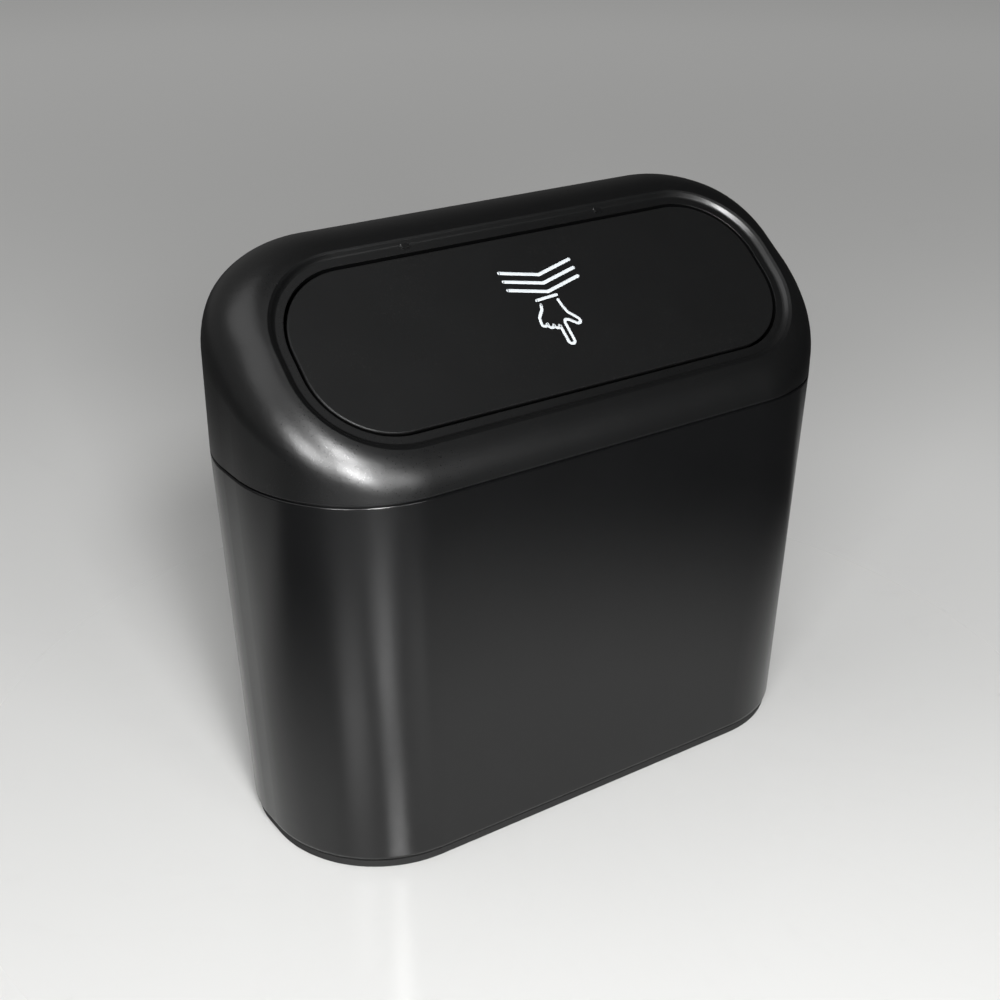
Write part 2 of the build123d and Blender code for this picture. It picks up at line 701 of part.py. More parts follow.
# Lid panel: a flat plate with a fine bright edge and a skirt underneath
with BuildPart() as lid_panel:
    with BuildSketch(lid_plane.offset(-panel_thickness)):
        RectangleRounded(*lid_outline(-panel_draft))
    with BuildSketch(lid_plane):
        RectangleRounded(*lid_outline(0))
    loft(ruled=True)
    chamfer(lid_panel.faces().filter_by(lid_plane).sort_by(Axis.Z)[-1].edges(), length=panel_chamfer)
    with BuildSketch(lid_plane.offset(-panel_thickness)):
        RectangleRounded(*lid_outline(-panel_skirt_inset))
        RectangleRounded(*lid_outline(-panel_skirt_inset - panel_skirt_wall), mode=Mode.SUBTRACT)
    extrude(amount=-panel_skirt_depth)
    with BuildSketch(lid_plane.offset(-panel_thickness)):
        with Locations((0, lid_width / 2)):
            with GridLocations(2 * hinge_x, 1, 2, 1):
                Rectangle(barrel_length + 2 * arm_notch, lid_width / 4)
    extrude(amount=-panel_skirt_depth, mode=Mode.SUBTRACT)
    with BuildSketch(lid_plane.offset(-panel_thickness)):
        with GridLocations(2 * lid_screw_x, 2 * lid_screw_y, 2, 2):
            Circle(screw_radius + screw_hole_gap)
    extrude(amount=lid_screw_length - liner_thickness + liner_gap, mode=Mode.SUBTRACT)
lid_panel.part.label = "lid_panel"
export_step(lid_panel.part, "parts/lid_panel.step")

# Lid liner: a plate inside the skirt with the two gooseneck arms and a seat for the strike plate
liner_inset = panel_skirt_inset + panel_skirt_wall + liner_gap
arm_outer = throat_radius + arm_thickness
liner_under = hinge_drop + lid_underside
with BuildPart() as lid_liner:
    with BuildSketch(lid_plane.offset(-panel_thickness - liner_thickness)):
        RectangleRounded(*lid_outline(-liner_inset))
    extrude(amount=liner_thickness)
    with BuildSketch(lid_plane.offset(lid_underside)):
        with Locations((0, latch_along)):
            RectangleRounded(
                strike_length + 2 * liner_thickness, strike_width + 2 * liner_thickness, strike_seat_corner)
            RectangleRounded(
                strike_length + 2 * liner_gap, strike_width + 2 * liner_gap, strike_corner, mode=Mode.SUBTRACT)
    extrude(amount=-strike_thickness)
    for start_x in (hinge_x - barrel_length / 2, -hinge_x - barrel_length / 2):
        with BuildSketch(hinge_plane(start_x)):
            Circle(barrel_radius)
            with Locations((0, -arm_outer / 2)):
                Rectangle(2 * arm_rear, arm_outer)
            with BuildLine():
                outer_low = CenterArc((0, 0), arm_outer, 180, 90)
                Line(outer_low @ 1, (0, -throat_radius))
                CenterArc((0, 0), throat_radius, 180, 90)
                Line((-throat_radius, 0), (-throat_radius, liner_under + liner_thickness / 2))
                Line((-throat_radius, liner_under + liner_thickness / 2), (-arm_outer, liner_under + liner_thickness / 2))
                Line((-arm_outer, liner_under + liner_thickness / 2), (-arm_outer, 0))
            make_face()
            Circle(pin_radius + pin_fit, mode=Mode.SUBTRACT)
        extrude(amount=barrel_length)
    with BuildSketch(lid_plane.offset(lid_underside)):
        with GridLocations(2 * lid_screw_x, 2 * lid_screw_y, 2, 2):
            Circle(screw_radius + screw_hole_gap)
        with Locations((0, latch_along)):
            with GridLocations(2 * rivet_x, 1, 2, 1):
                Circle(screw_radius + screw_hole_gap)
    extrude(amount=liner_thickness, mode=Mode.SUBTRACT)
lid_liner.part.label = "lid_liner"
export_step(lid_liner.part, "parts/lid_liner.step")

# Screws that hold the liner to the panel
with BuildPart() as lid_screws:
    with BuildSketch(lid_plane.offset(lid_underside)):
        with GridLocations(2 * lid_screw_x, 2 * lid_screw_y, 2, 2):
            Circle(screw_head_radius)
    extrude(amount=-screw_head_height)
    with BuildSketch(lid_plane.offset(lid_underside)):
        with GridLocations(2 * lid_screw_x, 2 * lid_screw_y, 2, 2):
            Circle(screw_radius)
    extrude(amount=lid_screw_length)
lid_screws.part.label = "lid_screws"
export_step(lid_screws.part, "parts/lid_screws.step")

# Strike plate of steel under the front of the lid, with its two rivets
with BuildPart() as strike_plate:
    with BuildSketch(lid_plane.offset(strike_bottom)):
        with Locations((0, latch_along)):
            RectangleRounded(strike_length, strike_width, strike_corner)
            with GridLocations(2 * rivet_x, 1, 2, 1):
                Circle(screw_radius + screw_hole_gap, mode=Mode.SUBTRACT)
    extrude(amount=strike_thickness)
strike_plate.part.label = "strike_plate"
export_step(strike_plate.part, "parts/strike_plate.step")

with BuildPart() as strike_rivets:
    with BuildSketch(lid_plane.offset(strike_bottom - rivet_head_height)):
        with Locations((0, latch_along)):
            with GridLocations(2 * rivet_x, 1, 2, 1):
                Circle(screw_radius + rivet_head_height)
    extrude(amount=rivet_head_height)
    with BuildSketch(lid_plane.offset(strike_bottom)):
        with Locations((0, latch_along)):
            with GridLocations(2 * rivet_x, 1, 2, 1):
                Circle(screw_radius)
    extrude(amount=strike_thickness + liner_thickness)
strike_rivets.part.label = "strike_rivets"
export_step(strike_rivets.part, "parts/strike_rivets.step")

# Hook: a plate that drops into the rail, folded over to hang on an edge
hook_front = rail_face + rail_gap
hook_back = hook_front + hook_plate
drop_back = hook_back + hook_gap
hook_seat = hook_bottom + rail_wall
with BuildPart() as hanging_hook:
    with BuildSketch(Plane.YZ.offset(-hook_width / 2)):
        with BuildLine() as hook_side:
            Polyline(
                (hook_front, hook_seat),
                (hook_front, hook_top),
                (drop_back + hook_plate, hook_top),
                (drop_back + hook_plate, hook_top - hook_drop),
                (drop_back, hook_top - hook_drop),
                (drop_back, hook_top - hook_plate),
                (hook_back, hook_top - hook_plate),
                (hook_back, hook_seat),
                close=True,
            )
        make_face()
    extrude(amount=hook_width)
    top_edges = hanging_hook.edges().filter_by(Axis.X)
    outer_bends = top_edges.group_by(Axis.Z)[-1]
    fillet(outer_bends, radius=hook_corner + hook_plate)
    inner_bends = [
        edge for edge in hanging_hook.edges().filter_by(Axis.X)
        if abs(edge.center().Z - (hook_top - hook_plate)) < 0.01 and hook_front < edge.center().Y <= drop_back + 0.01
    ]
    fillet(inner_bends, radius=hook_corner)
    drop_corners = hanging_hook.edges().filter_by(Axis.Y).group_by(Axis.Y)[-1]
    fillet(drop_corners.sort_by(Axis.Z)[:2], radius=hook_tip_corner)
hanging_hook.part.label = "hanging_hook"
export_step(hanging_hook.part, "parts/hanging_hook.step")

# Soft pad on the inside of the hook
pad_middle = hook_top - hook_plate - hook_corner - pad_length / 2 - pad_below_bend
with BuildPart() as hook_pad:
    with BuildSketch(Plane.XZ.offset(-drop_back)):
        with Locations((0, pad_middle)):
            RectangleRounded(pad_width, pad_length, pad_corner)
    extrude(amount=pad_thickness)
    chamfer(hook_pad.faces().sort_by(Axis.Y)[0].edges(), length=pad_edge)
hook_pad.part.label = "hook_pad"
export_step(hook_pad.part, "parts/hook_pad.step")
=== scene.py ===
"""Looks of the small car bin.

Finishes for every moulded and metal piece, finely formed screws, rivets, magnet and springs, the white marks
on the lid, and the studio round it. All lengths in the code are metres. X runs along the bin, -Y is the near
face and +Z is up.
"""
from __future__ import annotations

import logging
import math
from collections.abc import Sequence
from dataclasses import dataclass, field
from enum import Enum
from typing import ClassVar

import bpy
import numpy as np
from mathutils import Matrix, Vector

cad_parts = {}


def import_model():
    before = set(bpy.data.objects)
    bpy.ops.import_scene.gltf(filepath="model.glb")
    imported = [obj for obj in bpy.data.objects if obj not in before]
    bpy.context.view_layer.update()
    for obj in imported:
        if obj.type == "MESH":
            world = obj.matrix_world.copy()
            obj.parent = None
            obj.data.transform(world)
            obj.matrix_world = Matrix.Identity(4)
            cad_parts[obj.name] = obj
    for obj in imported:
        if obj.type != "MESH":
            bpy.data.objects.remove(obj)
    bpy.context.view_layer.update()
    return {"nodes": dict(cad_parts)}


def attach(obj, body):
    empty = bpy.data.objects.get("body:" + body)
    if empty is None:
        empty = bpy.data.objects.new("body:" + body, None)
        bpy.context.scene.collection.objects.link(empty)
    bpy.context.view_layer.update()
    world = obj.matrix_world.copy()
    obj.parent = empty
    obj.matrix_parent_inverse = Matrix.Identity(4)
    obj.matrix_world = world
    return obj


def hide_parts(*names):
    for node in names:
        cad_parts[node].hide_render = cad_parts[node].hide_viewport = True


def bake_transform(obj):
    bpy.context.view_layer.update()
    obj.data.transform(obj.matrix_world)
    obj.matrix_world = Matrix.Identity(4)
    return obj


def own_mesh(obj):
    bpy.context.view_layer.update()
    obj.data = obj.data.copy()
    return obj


log = logging.getLogger("car_bin")
MM = 0.001
SHARP_ANGLE = math.radians(35)
ACROSS = np.array([1.0, 0.0, 0.0])
CORNER_SIGNS = np.array([[-1, -1], [1, -1], [1, 1], [-1, 1]])
NUMBER = "NodeSocketFloat"
PLACE = "NodeSocketVector"
Tone = tuple[float, float, float]
Place = tuple[float, float, float]
Spread = tuple[float, float, float, float]
"""A way to carry a value over: low and high end of the old range, then of the new one."""


class Body(Enum):
    """The rigid bodies that the new pieces ride on."""

    COVER = "cover"
    PINS = "pins"
    LID = "lid"
    PLUNGER = "plunger"


class Slot(Enum):
    """The material slots of the part."""

    BIN = "bin_black"
    COVER = "cover_black"
    LID = "lid_black"
    INNER = "inner_black"
    SOLE = "sole_rubber"
    PAD = "pad_rubber"
    STEEL = "steel"
    WIRE = "spring_steel"
    MAGNET = "magnet"


class Side(Enum):
    """The two ends of the hinge, as the sign of X."""

    LEFT = -1
    RIGHT = 1


@dataclass(frozen=True)
class Slope:
    """The lid's sloping plane, which most of the small pieces are square to."""

    tilt: float = math.radians(39.4)
    middle_y: float = -11.3 * MM
    middle_z: float = 155.3 * MM

    @property
    def up(self) -> np.ndarray:
        """Unit vector up the slope."""
        return np.array([0.0, math.cos(self.tilt), math.sin(self.tilt)])

    @property
    def out(self) -> np.ndarray:
        """Unit vector square to the lid, out of its face."""
        return np.array([0.0, -math.sin(self.tilt), math.cos(self.tilt)])

    def place(self, across: np.ndarray, along: np.ndarray, above: np.ndarray) -> np.ndarray:
        """World points of places on the slope.

        The point is the lid's middle plus the across distance on X, the along distance up the slope and the
        above distance out of the face.

        Args:
            across: distances to the right, in metres.
            along: distances up the slope from the lid's middle, in metres.
            above: distances out of the lid's face, in metres.

        Returns:
            An array of points with a last axis of three.
        """
        across, along, above = np.broadcast_arrays(across, along, above)
        x = np.stack([across, np.zeros_like(across), np.zeros_like(across)], axis=-1)
        middle = np.array([0.0, self.middle_y, self.middle_z])
        return middle + x + along[..., None] * self.up + above[..., None] * self.out


def full_turn(columns: int) -> np.ndarray:
    """Angles of points evenly spaced round a full turn."""
    return np.linspace(0, 2 * np.pi, columns, endpoint=False)


def run_along(path: np.ndarray) -> np.ndarray:
    """Distance along a path to each of its points: the sum of the steps before it."""
    return np.concatenate([[0], np.cumsum(np.linalg.norm(np.diff(path, axis=0), axis=1))])


def rings_about_z(radius: np.ndarray, height: np.ndarray, angle: np.ndarray) -> np.ndarray:
    """Rings about local Z: a point at an angle is radius cos angle, radius sin angle, height.

    Args:
        radius: a column of radii, one for each ring, or an array with one for each point.
        height: heights, in the same form.
        angle: a row of angles, one for each column of points.

    Returns:
        An array of (rings, angles, 3) points.
    """
    radius, height, angle = np.broadcast_arrays(radius, height, angle)
    return np.stack([radius * np.cos(angle), radius * np.sin(angle), height], axis=-1)


def smooth_step(value: np.ndarray) -> np.ndarray:
    """Eased share: three times the square less twice the cube of the value held between 0 and 1."""
    held = np.clip(value, 0.0, 1.0)
    return held * held * (3.0 - 2.0 * held)


@dataclass
class Surface:
    """A mesh held as arrays: points, faces of four and three corners, and the UV place of each corner."""

    points: np.ndarray
    quads: np.ndarray
    quad_uv: np.ndarray
    tris: np.ndarray
    tri_uv: np.ndarray

    @classmethod
    def from_rings(cls, rings: np.ndarray, run: np.ndarray | None = None) -> Surface:
        """Closed skin through a row of closed rings, each end closed by a fan to its ring's mean point.

        Point (i, j) is the j-th point of ring i. Faces join (i, j), (i, j+1), (i+1, j+1) and (i+1, j), where
        j wraps round. U is the share of the way round and V the run along the rings.

        Args:
            rings: array of (rows, columns, 3) points.
            run: distance along the rings for each row, for V. It is evenly spread if left out.

        Returns:
            The closed surface, its faces turned outwards.
        """
        rows, columns = rings.shape[:2]
        run = np.linspace(0.0, 1.0, rows) if run is None else run
        row, column = np.meshgrid(np.arange(rows - 1), np.arange(columns), indexing="ij")
        after = (column + 1) % columns
        here, there = row * columns, (row + 1) * columns
        quads = np.stack([here + column, here + after, there + after, there + column], axis=-1)
        u = np.stack([column, column + 1, column + 1, column], axis=-1) / columns
        v = np.stack([run[row], run[row], run[row + 1], run[row + 1]], axis=-1)
        around = np.arange(columns)
        beyond = (around + 1) % columns
        low_middle, high_middle = rows * columns, rows * columns + 1
        last_ring = (rows - 1) * columns
        low_fan = np.stack([np.full(columns, low_middle), beyond, around], axis=-1)
        high_fan = np.stack([np.full(columns, high_middle), last_ring + around, last_ring + beyond], axis=-1)
        low_u = np.stack([around + 0.5, around + 1, around], axis=-1)
        high_u = np.stack([around + 0.5, around, around + 1], axis=-1)
        fan_u = np.concatenate([low_u, high_u]) / columns
        fan_v = np.concatenate([np.full((columns, 3), run[0]), np.full((columns, 3), run[-1])])
        middles = [rings[0].mean(0)[None], rings[-1].mean(0)[None]]
        surface = cls(
            points=np.concatenate([rings.reshape(-1, 3), *middles]),
            quads=quads.reshape(-1, 4),
            quad_uv=np.stack([u.reshape(-1, 4), v.reshape(-1, 4)], axis=-1),
            tris=np.concatenate([low_fan, high_fan]),
            tri_uv=np.stack([fan_u, fan_v], axis=-1),
        )
        return surface.outward()

    @classmethod
    def joined(cls, surfaces: Sequence[Surface]) -> Surface:
        """One surface of several, which stay separate shells.

        Args:
            surfaces: the shells to put together.

        Returns:
            A surface that holds them all.
        """
        starts = np.cumsum([0] + [len(shell.points) for shell in surfaces[:-1]])
        return cls(
            points=np.concatenate([shell.points for shell in surfaces]),
            quads=np.concatenate([shell.quads + start for shell, start in zip(surfaces, starts)]),
            quad_uv=np.concatenate([shell.quad_uv for shell in surfaces]),
            tris=np.concatenate([shell.tris + start for shell, start in zip(surfaces, starts)]),
            tri_uv=np.concatenate([shell.tri_uv for shell in surfaces]),
        )

    def volume(self) -> float:
        """Signed volume: the sum over all triangles of a sixth of the triple product of their corners."""
        halves = np.concatenate([self.quads[:, [0, 1, 2]], self.quads[:, [0, 2, 3]], self.tris])
        a, b, c = (self.points[halves[:, corner]] for corner in range(3))
        return float(np.einsum("ij,ij->i", a, np.cross(b, c)).sum() / 6.0)

    def outward(self) -> Surface:
        """Turn the faces of the closed surface outwards.

        Returns:
            The same surface if its volume about its own middle is positive, or else one turned round.
        """
        middle = self.points.mean(0)
        centred = Surface(self.points - middle, self.quads, self.quad_uv, self.tris, self.tri_uv)
        if centred.volume() >= 0:
            return self
        return Surface(self.points, self.quads[:, ::-1], self.quad_uv[:, ::-1], self.tris[:, ::-1],
                       self.tri_uv[:, ::-1])

    def moved(self, origin: np.ndarray, axis: np.ndarray, across: np.ndarray = ACROSS) -> Surface:
        """The surface carried to a place.

        Point (x, y, z) goes to the origin plus x times the across direction, y times the direction square
        to the axis and to that, and z times the axis.

        Args:
            origin: world point that the local origin goes to.
            axis: world direction of local Z.
            across: world direction of local X, square to the axis.

        Returns:
            The surface in its new place, its faces outwards.
        """
        beside = np.cross(axis, across)
        points = np.asarray(origin) + self.points @ np.stack([across, beside, axis])
        return Surface(points, self.quads, self.quad_uv, self.tris, self.tri_uv).outward()

    def build(self, name: str, material: bpy.types.Material) -> bpy.types.Object:
        """The surface as a smooth-shaded object with a UV map and one material.

        Args:
            name: name of the object and of its mesh.
            material: the finish it wears.

        Returns:
            The new object, linked to the scene, at the origin.
        """
        mesh = bpy.data.meshes.new(name)
        mesh.from_pydata(self.points.tolist(), [], self.quads.tolist() + self.tris.tolist())
        uv = mesh.uv_layers.new(name="UVMap")
        flat = np.concatenate([self.quad_uv.reshape(-1), self.tri_uv.reshape(-1)]).astype(np.float32)
        uv.data.foreach_set("uv", flat)
        mesh.polygons.foreach_set("use_smooth", np.ones(len(mesh.polygons), dtype=bool))
        mesh.materials.append(material)
        mesh.set_sharp_from_angle(angle=SHARP_ANGLE)
        mesh.update()
        piece = bpy.data.objects.new(name, mesh)
        bpy.context.scene.collection.objects.link(piece)
        return piece


def turned(profile: np.ndarray, columns: int = 48) -> Surface:
    """Turned form about local Z: a profile of radius and height carried round.

    Args:
        profile: array of (radius, height) pairs from one end of the axis to the other.
        columns: number of points round.

    Returns:
        The closed turned surface.
    """
    rings = rings_about_z(profile[:, :1], profile[:, 1:], full_turn(columns))
    return Surface.from_rings(rings, run_along(profile) / MM)


def wire(path: np.ndarray, radius: float, columns: int = 14) -> Surface:
    """Round wire along a path: a circle of the wire's radius carried along it, square to it at every point.

    A ring's first direction is the way from the path's mean point to the ring, less the part of it that
    runs along the path, made a unit long. Its second direction is square to that and to the path. A point at
    an angle is the ring's middle plus the radius times its cosine on the first and its sine on the second.

    Args:
        path: array of (n, 3) points.
        radius: the wire's radius.
        columns: points round the wire.

    Returns:
        The closed wire.
    """
    tangent = np.gradient(path, axis=0)
    tangent /= np.linalg.norm(tangent, axis=1, keepdims=True)
    first = path - path.mean(0)
    first -= np.einsum("ij,ij->i", first, tangent)[:, None] * tangent
    first /= np.linalg.norm(first, axis=1, keepdims=True)
    second = np.cross(tangent, first)
    angle = full_turn(columns)[None, :, None]
    circle = np.cos(angle) * first[:, None, :] + np.sin(angle) * second[:, None, :]
    return Surface.from_rings(path[:, None, :] + radius * circle, run_along(path) / MM)


class Wiring:
    """Short ways to place nodes in one tree and to join them."""

    def __init__(self, tree: bpy.types.NodeTree) -> None:
        """Keep the tree that nodes are placed in."""
        self.tree = tree

    def node(self, kind: str, settings: dict | None = None, **inputs) -> bpy.types.Node:
        """Place a node.

        Args:
            kind: the node's type name.
            settings: attributes to set on the node.
            **inputs: values or output sockets for its inputs, by name with underscores for spaces.

        Returns:
            The new node.
        """
        made = self.tree.nodes.new(kind)
        for key, value in (settings or {}).items():
            setattr(made, key, value)
        for key, value in inputs.items():
            self.feed(made.inputs[key.replace("_", " ")], value)
        return made

    def feed(self, socket: bpy.types.NodeSocket, value: object) -> None:
        """Join an output socket to an input, or set the input to a plain value.

        Args:
            socket: the input.
            value: an output socket or a plain value.
        """
        if isinstance(value, bpy.types.NodeSocket):
            self.tree.links.new(value, socket)
        else:
            socket.default_value = value

    def sum(self, operation: str, first: object, second: object = 0.0,
            clamp: bool = False) -> bpy.types.NodeSocket:
        """One step of arithmetic on two values.

        Args:
            operation: name of the step, such as MULTIPLY.
            first: a number or an output socket.
            second: a number or an output socket.
            clamp: whether the result is held between 0 and 1.

        Returns:
            The result's socket.
        """
        made = self.node("ShaderNodeMath", {"operation": operation, "use_clamp": clamp})
        self.feed(made.inputs[0], first)
        self.feed(made.inputs[1], second)
        return made.outputs[0]

    def product(self, first: object, second: object) -> bpy.types.NodeSocket:
        """One value times another."""
        return self.sum("MULTIPLY", first, second)

    def noise(self, place: object, scale: object, detail: float, **inputs) -> bpy.types.NodeSocket:
        """Cloudy noise between 0 and 1.

        Args:
            place: coordinates' socket.
            scale: fineness, a number or an output socket.
            detail: number of finer layers.
            **inputs: values for the noise's other inputs, by name.

        Returns:
            The noise's socket.
        """
        made = self.node("ShaderNodeTexNoise", Vector=place, Scale=scale, Detail=detail, **inputs)
        return made.outputs["Fac"]

    def spread(self, value: object, low: float, high: float, out_low: object, out_high: object,
               smooth: bool = True) -> bpy.types.NodeSocket:
        """Carry a value from one range to another, held at the ends.

        Args:
            value: a number or an output socket.
            low: start of the old range.
            high: end of the old range.
            out_low: start of the new range.
            out_high: end of the new range.
            smooth: whether the way between is eased.

        Returns:
            The result's socket.
        """
        made = self.node("ShaderNodeMapRange", {"interpolation_type": "SMOOTHSTEP" if smooth else "LINEAR"})
        for socket, number in zip(made.inputs, (value, low, high, out_low, out_high)):
            self.feed(socket, number)
        return made.outputs[0]

    def blend(self, share: object, first: object, second: object) -> bpy.types.NodeSocket:
        """Mix two colours.

        Args:
            share: how much of the second colour.
            first: a colour of three numbers or an output socket.
            second: a colour of three numbers or an output socket.

        Returns:
            The mixed colour's socket.
        """
        made = self.node("ShaderNodeMix", {"data_type": "RGBA"})
        self.feed(made.inputs[0], share)
        for socket, colour in zip((made.inputs[6], made.inputs[7]), (first, second)):
            self.feed(socket, (*colour, 1.0) if isinstance(colour, tuple) else colour)
        return made.outputs[2]

    def group(self, effect: bpy.types.NodeTree, **inputs) -> bpy.types.Node:
        """Place a shared effect.

        Args:
            effect: the effect's node group.
            **inputs: values or sockets for its inputs.

        Returns:
            The group node.
        """
        return self.node("ShaderNodeGroup", {"node_tree": effect}, **inputs)


def tinted(tone: Tone, factor: float) -> Tone:
    """A colour with each channel multiplied by a factor, up to 1."""
    return tuple(min(channel * factor, 1.0) for channel in tone)


def new_group(name: str, inputs: Sequence[tuple[str, str, float | None]],
              outputs: Sequence[tuple[str, str]]) -> tuple[bpy.types.NodeTree, Wiring, dict, bpy.types.Node]:
    """Start a shader node group with named sockets.

    Args:
        name: the group's name.
        inputs: name, socket type and first value of each input.
        outputs: name and socket type of each output.

    Returns:
        The group, its wiring, its input sockets by name and its output node.
    """
    group = bpy.data.node_groups.new(name, "ShaderNodeTree")
    for label, kind, value in inputs:
        socket = group.interface.new_socket(label, in_out="INPUT", socket_type=kind)
        if value is not None:
            socket.default_value = value
    for label, kind in outputs:
        group.interface.new_socket(label, in_out="OUTPUT", socket_type=kind)
    start = group.nodes.new("NodeGroupInput")
    end = group.nodes.new("NodeGroupOutput")
    return group, Wiring(group), {socket.name: socket for socket in start.outputs}, end


@dataclass
class Effects:
    """Surface effects that several finishes share, each one a node group made once."""

    fine_share: float = 0.6
    pit_scale: float = 0.55
    pit_share: float = 0.4
    peel_scale: float = 0.09
    sparkle: Spread = (0.56, 0.68, 0.0, 1.0)
    patch_scale: float = 22.0
    patches: Spread = (0.42, 0.68, 0.0, 0.7)
    smear_turn: Place = (0.2, 0.1, 0.5)
    smear_scale: Place = (35.0, 160.0, 90.0)
    smears: Spread = (0.5, 0.75, 0.0, 0.5)
    dust_lean: Spread = (0.25, 0.9, 0.0, 1.0)
    speck_scale: float = 1900.0
    specks: Spread = (0.6, 0.74, 0.0, 1.0)
    drift_scale: float = 60.0
    drifts: Spread = (0.4, 0.7, 0.15, 1.0)
    tarnish_scale: float = 0.15
    tarnish: Spread = (0.5, 0.75, 0.0, 1.0)
    edge_lean: Spread = (0.995, 0.9, 0.0, 1.0)
    wear_scale: float = 420.0
    wear: Spread = (0.4, 0.62, 0.25, 1.0)
    grain: bpy.types.NodeTree = field(init=False)
    handling: bpy.types.NodeTree = field(init=False)
    streaks: bpy.types.NodeTree = field(init=False)
    edges: bpy.types.NodeTree = field(init=False)

    def __post_init__(self) -> None:
        """Make every group."""
        self.grain = self.mould_grain()
        self.handling = self.handling_marks()
        self.streaks = self.drawn_streaks()
        self.edges = self.worn_edges()

    def mould_grain(self) -> bpy.types.NodeTree:
        """Fine spark-eroded grain: small pits over a softer, wider orange peel.

        Returns:
            A group that puts out the surface's height and a sparkle mask.
        """
        group, wiring, start, end = new_group(
            "mould grain", (("Place", PLACE, None), ("Scale", NUMBER, 2600.0), ("Peel", NUMBER, 0.3)),
            (("Height", NUMBER), ("Sparkle", NUMBER)))
        place, scale = start["Place"], start["Scale"]
        fine = wiring.noise(place, scale, 2.0, Roughness=0.6)
        pits = wiring.node("ShaderNodeTexVoronoi", {"feature": "SMOOTH_F1"}, Vector=place,
                           Scale=wiring.product(scale, self.pit_scale), Smoothness=0.6)
        peel = wiring.noise(place, wiring.product(scale, self.peel_scale), 1.0)
        pitted = wiring.sum("ADD", wiring.product(fine, self.fine_share),
                            wiring.product(pits.outputs["Distance"], self.pit_share))
        wiring.feed(end.inputs["Height"], wiring.sum("ADD", pitted, wiring.product(peel, start["Peel"])))
        wiring.feed(end.inputs["Sparkle"], wiring.spread(fine, *self.sparkle))
        return group

    def handling_marks(self) -> bpy.types.NodeTree:
        """Marks of use: patches rubbed smoother by hands, faint smears, and dust on faces that look up.

        Returns:
            A group that puts out rubbed and dust masks.
        """
        group, wiring, start, end = new_group(
            "handling marks", (("Place", PLACE, None), ("Rub", NUMBER, 0.5), ("Dust", NUMBER, 0.3)),
            (("Rubbed", NUMBER), ("Dusty", NUMBER)))
        place = start["Place"]
        wide = wiring.noise(place, self.patch_scale, 3.0, Roughness=0.55, Distortion=0.6)
        smear_place = wiring.node("ShaderNodeMapping", Vector=place, Rotation=self.smear_turn,
                                  Scale=self.smear_scale)
        smear = wiring.noise(smear_place.outputs[0], 1.0, 4.0)
        rubbed = wiring.sum("ADD", wiring.spread(wide, *self.patches), wiring.spread(smear, *self.smears),
                            clamp=True)
        wiring.feed(end.inputs["Rubbed"], wiring.product(rubbed, start["Rub"]))
        normal = wiring.node("ShaderNodeTexCoord").outputs["Normal"]
        facing = wiring.node("ShaderNodeSeparateXYZ", Vector=normal)
        upward = wiring.spread(facing.outputs["Z"], *self.dust_lean)
        speckled = wiring.spread(wiring.noise(place, self.speck_scale, 1.0), *self.specks)
        drifted = wiring.spread(wiring.noise(place, self.drift_scale, 2.0), *self.drifts)
        dusty = wiring.product(wiring.product(speckled, drifted), upward)
        wiring.feed(end.inputs["Dusty"], wiring.product(dusty, start["Dust"]))
        return group

    def drawn_streaks(self) -> bpy.types.NodeTree:
        """Lines left by drawing or brushing, long one way and fine the other, with soft tarnish.

        Returns:
            A group that puts out a streak value and a tarnish mask.
        """
        group, wiring, start, end = new_group(
            "drawn streaks", (("Place", PLACE, None), ("Along", NUMBER, 60.0), ("Across", NUMBER, 4000.0)),
            (("Streak", NUMBER), ("Tarnish", NUMBER)))
        along, across = start["Along"], start["Across"]
        stretch = wiring.node("ShaderNodeCombineXYZ", X=across, Y=along, Z=across)
        scaled = wiring.node("ShaderNodeVectorMath", {"operation": "MULTIPLY"})
        wiring.feed(scaled.inputs[0], start["Place"])
        wiring.feed(scaled.inputs[1], stretch.outputs[0])
        cloud = wiring.noise(scaled.outputs[0], self.tarnish_scale, 3.0)
        wiring.feed(end.inputs["Streak"], wiring.noise(scaled.outputs[0], 1.0, 2.0))
        wiring.feed(end.inputs["Tarnish"], wiring.spread(cloud, *self.tarnish))
        return group

    def worn_edges(self) -> bpy.types.NodeTree:
        """Soft edges: a slightly rounded normal along every edge, and a mask of where it leaves the face's.

        Returns:
            A group that puts out the rounded normal and a wear mask.
        """
        group, wiring, start, end = new_group(
            "worn edges", (("Place", PLACE, None), ("Radius", NUMBER, 0.2 * MM)),
            (("Rounded", PLACE), ("Worn", NUMBER)))
        rounded = wiring.node("ShaderNodeBevel", {"samples": 4}, Radius=start["Radius"]).outputs["Normal"]
        lean = wiring.node("ShaderNodeVectorMath", {"operation": "DOT_PRODUCT"})
        wiring.feed(lean.inputs[0], rounded)
        wiring.feed(lean.inputs[1], wiring.node("ShaderNodeNewGeometry").outputs["Normal"])
        departed = wiring.spread(lean.outputs["Value"], *self.edge_lean)
        patchy = wiring.spread(wiring.noise(start["Place"], self.wear_scale, 3.0), *self.wear)
        wiring.feed(end.inputs["Rounded"], rounded)
        wiring.feed(end.inputs["Worn"], wiring.product(departed, patchy))
        return group


def fresh_material(name: str) -> tuple[bpy.types.Material, Wiring, bpy.types.Node, bpy.types.NodeSocket]:
    """Start a material with an empty main shader.

    Args:
        name: the material's name.

    Returns:
        The material, its wiring, its main shader and the Object coordinates' socket.
    """
    material = bpy.data.materials.new(name)
    material.use_nodes = True
    wiring = Wiring(material.node_tree)
    shader = material.node_tree.nodes["Principled BSDF"]
    place = wiring.node("ShaderNodeTexCoord").outputs["Object"]
    return material, wiring, shader, place


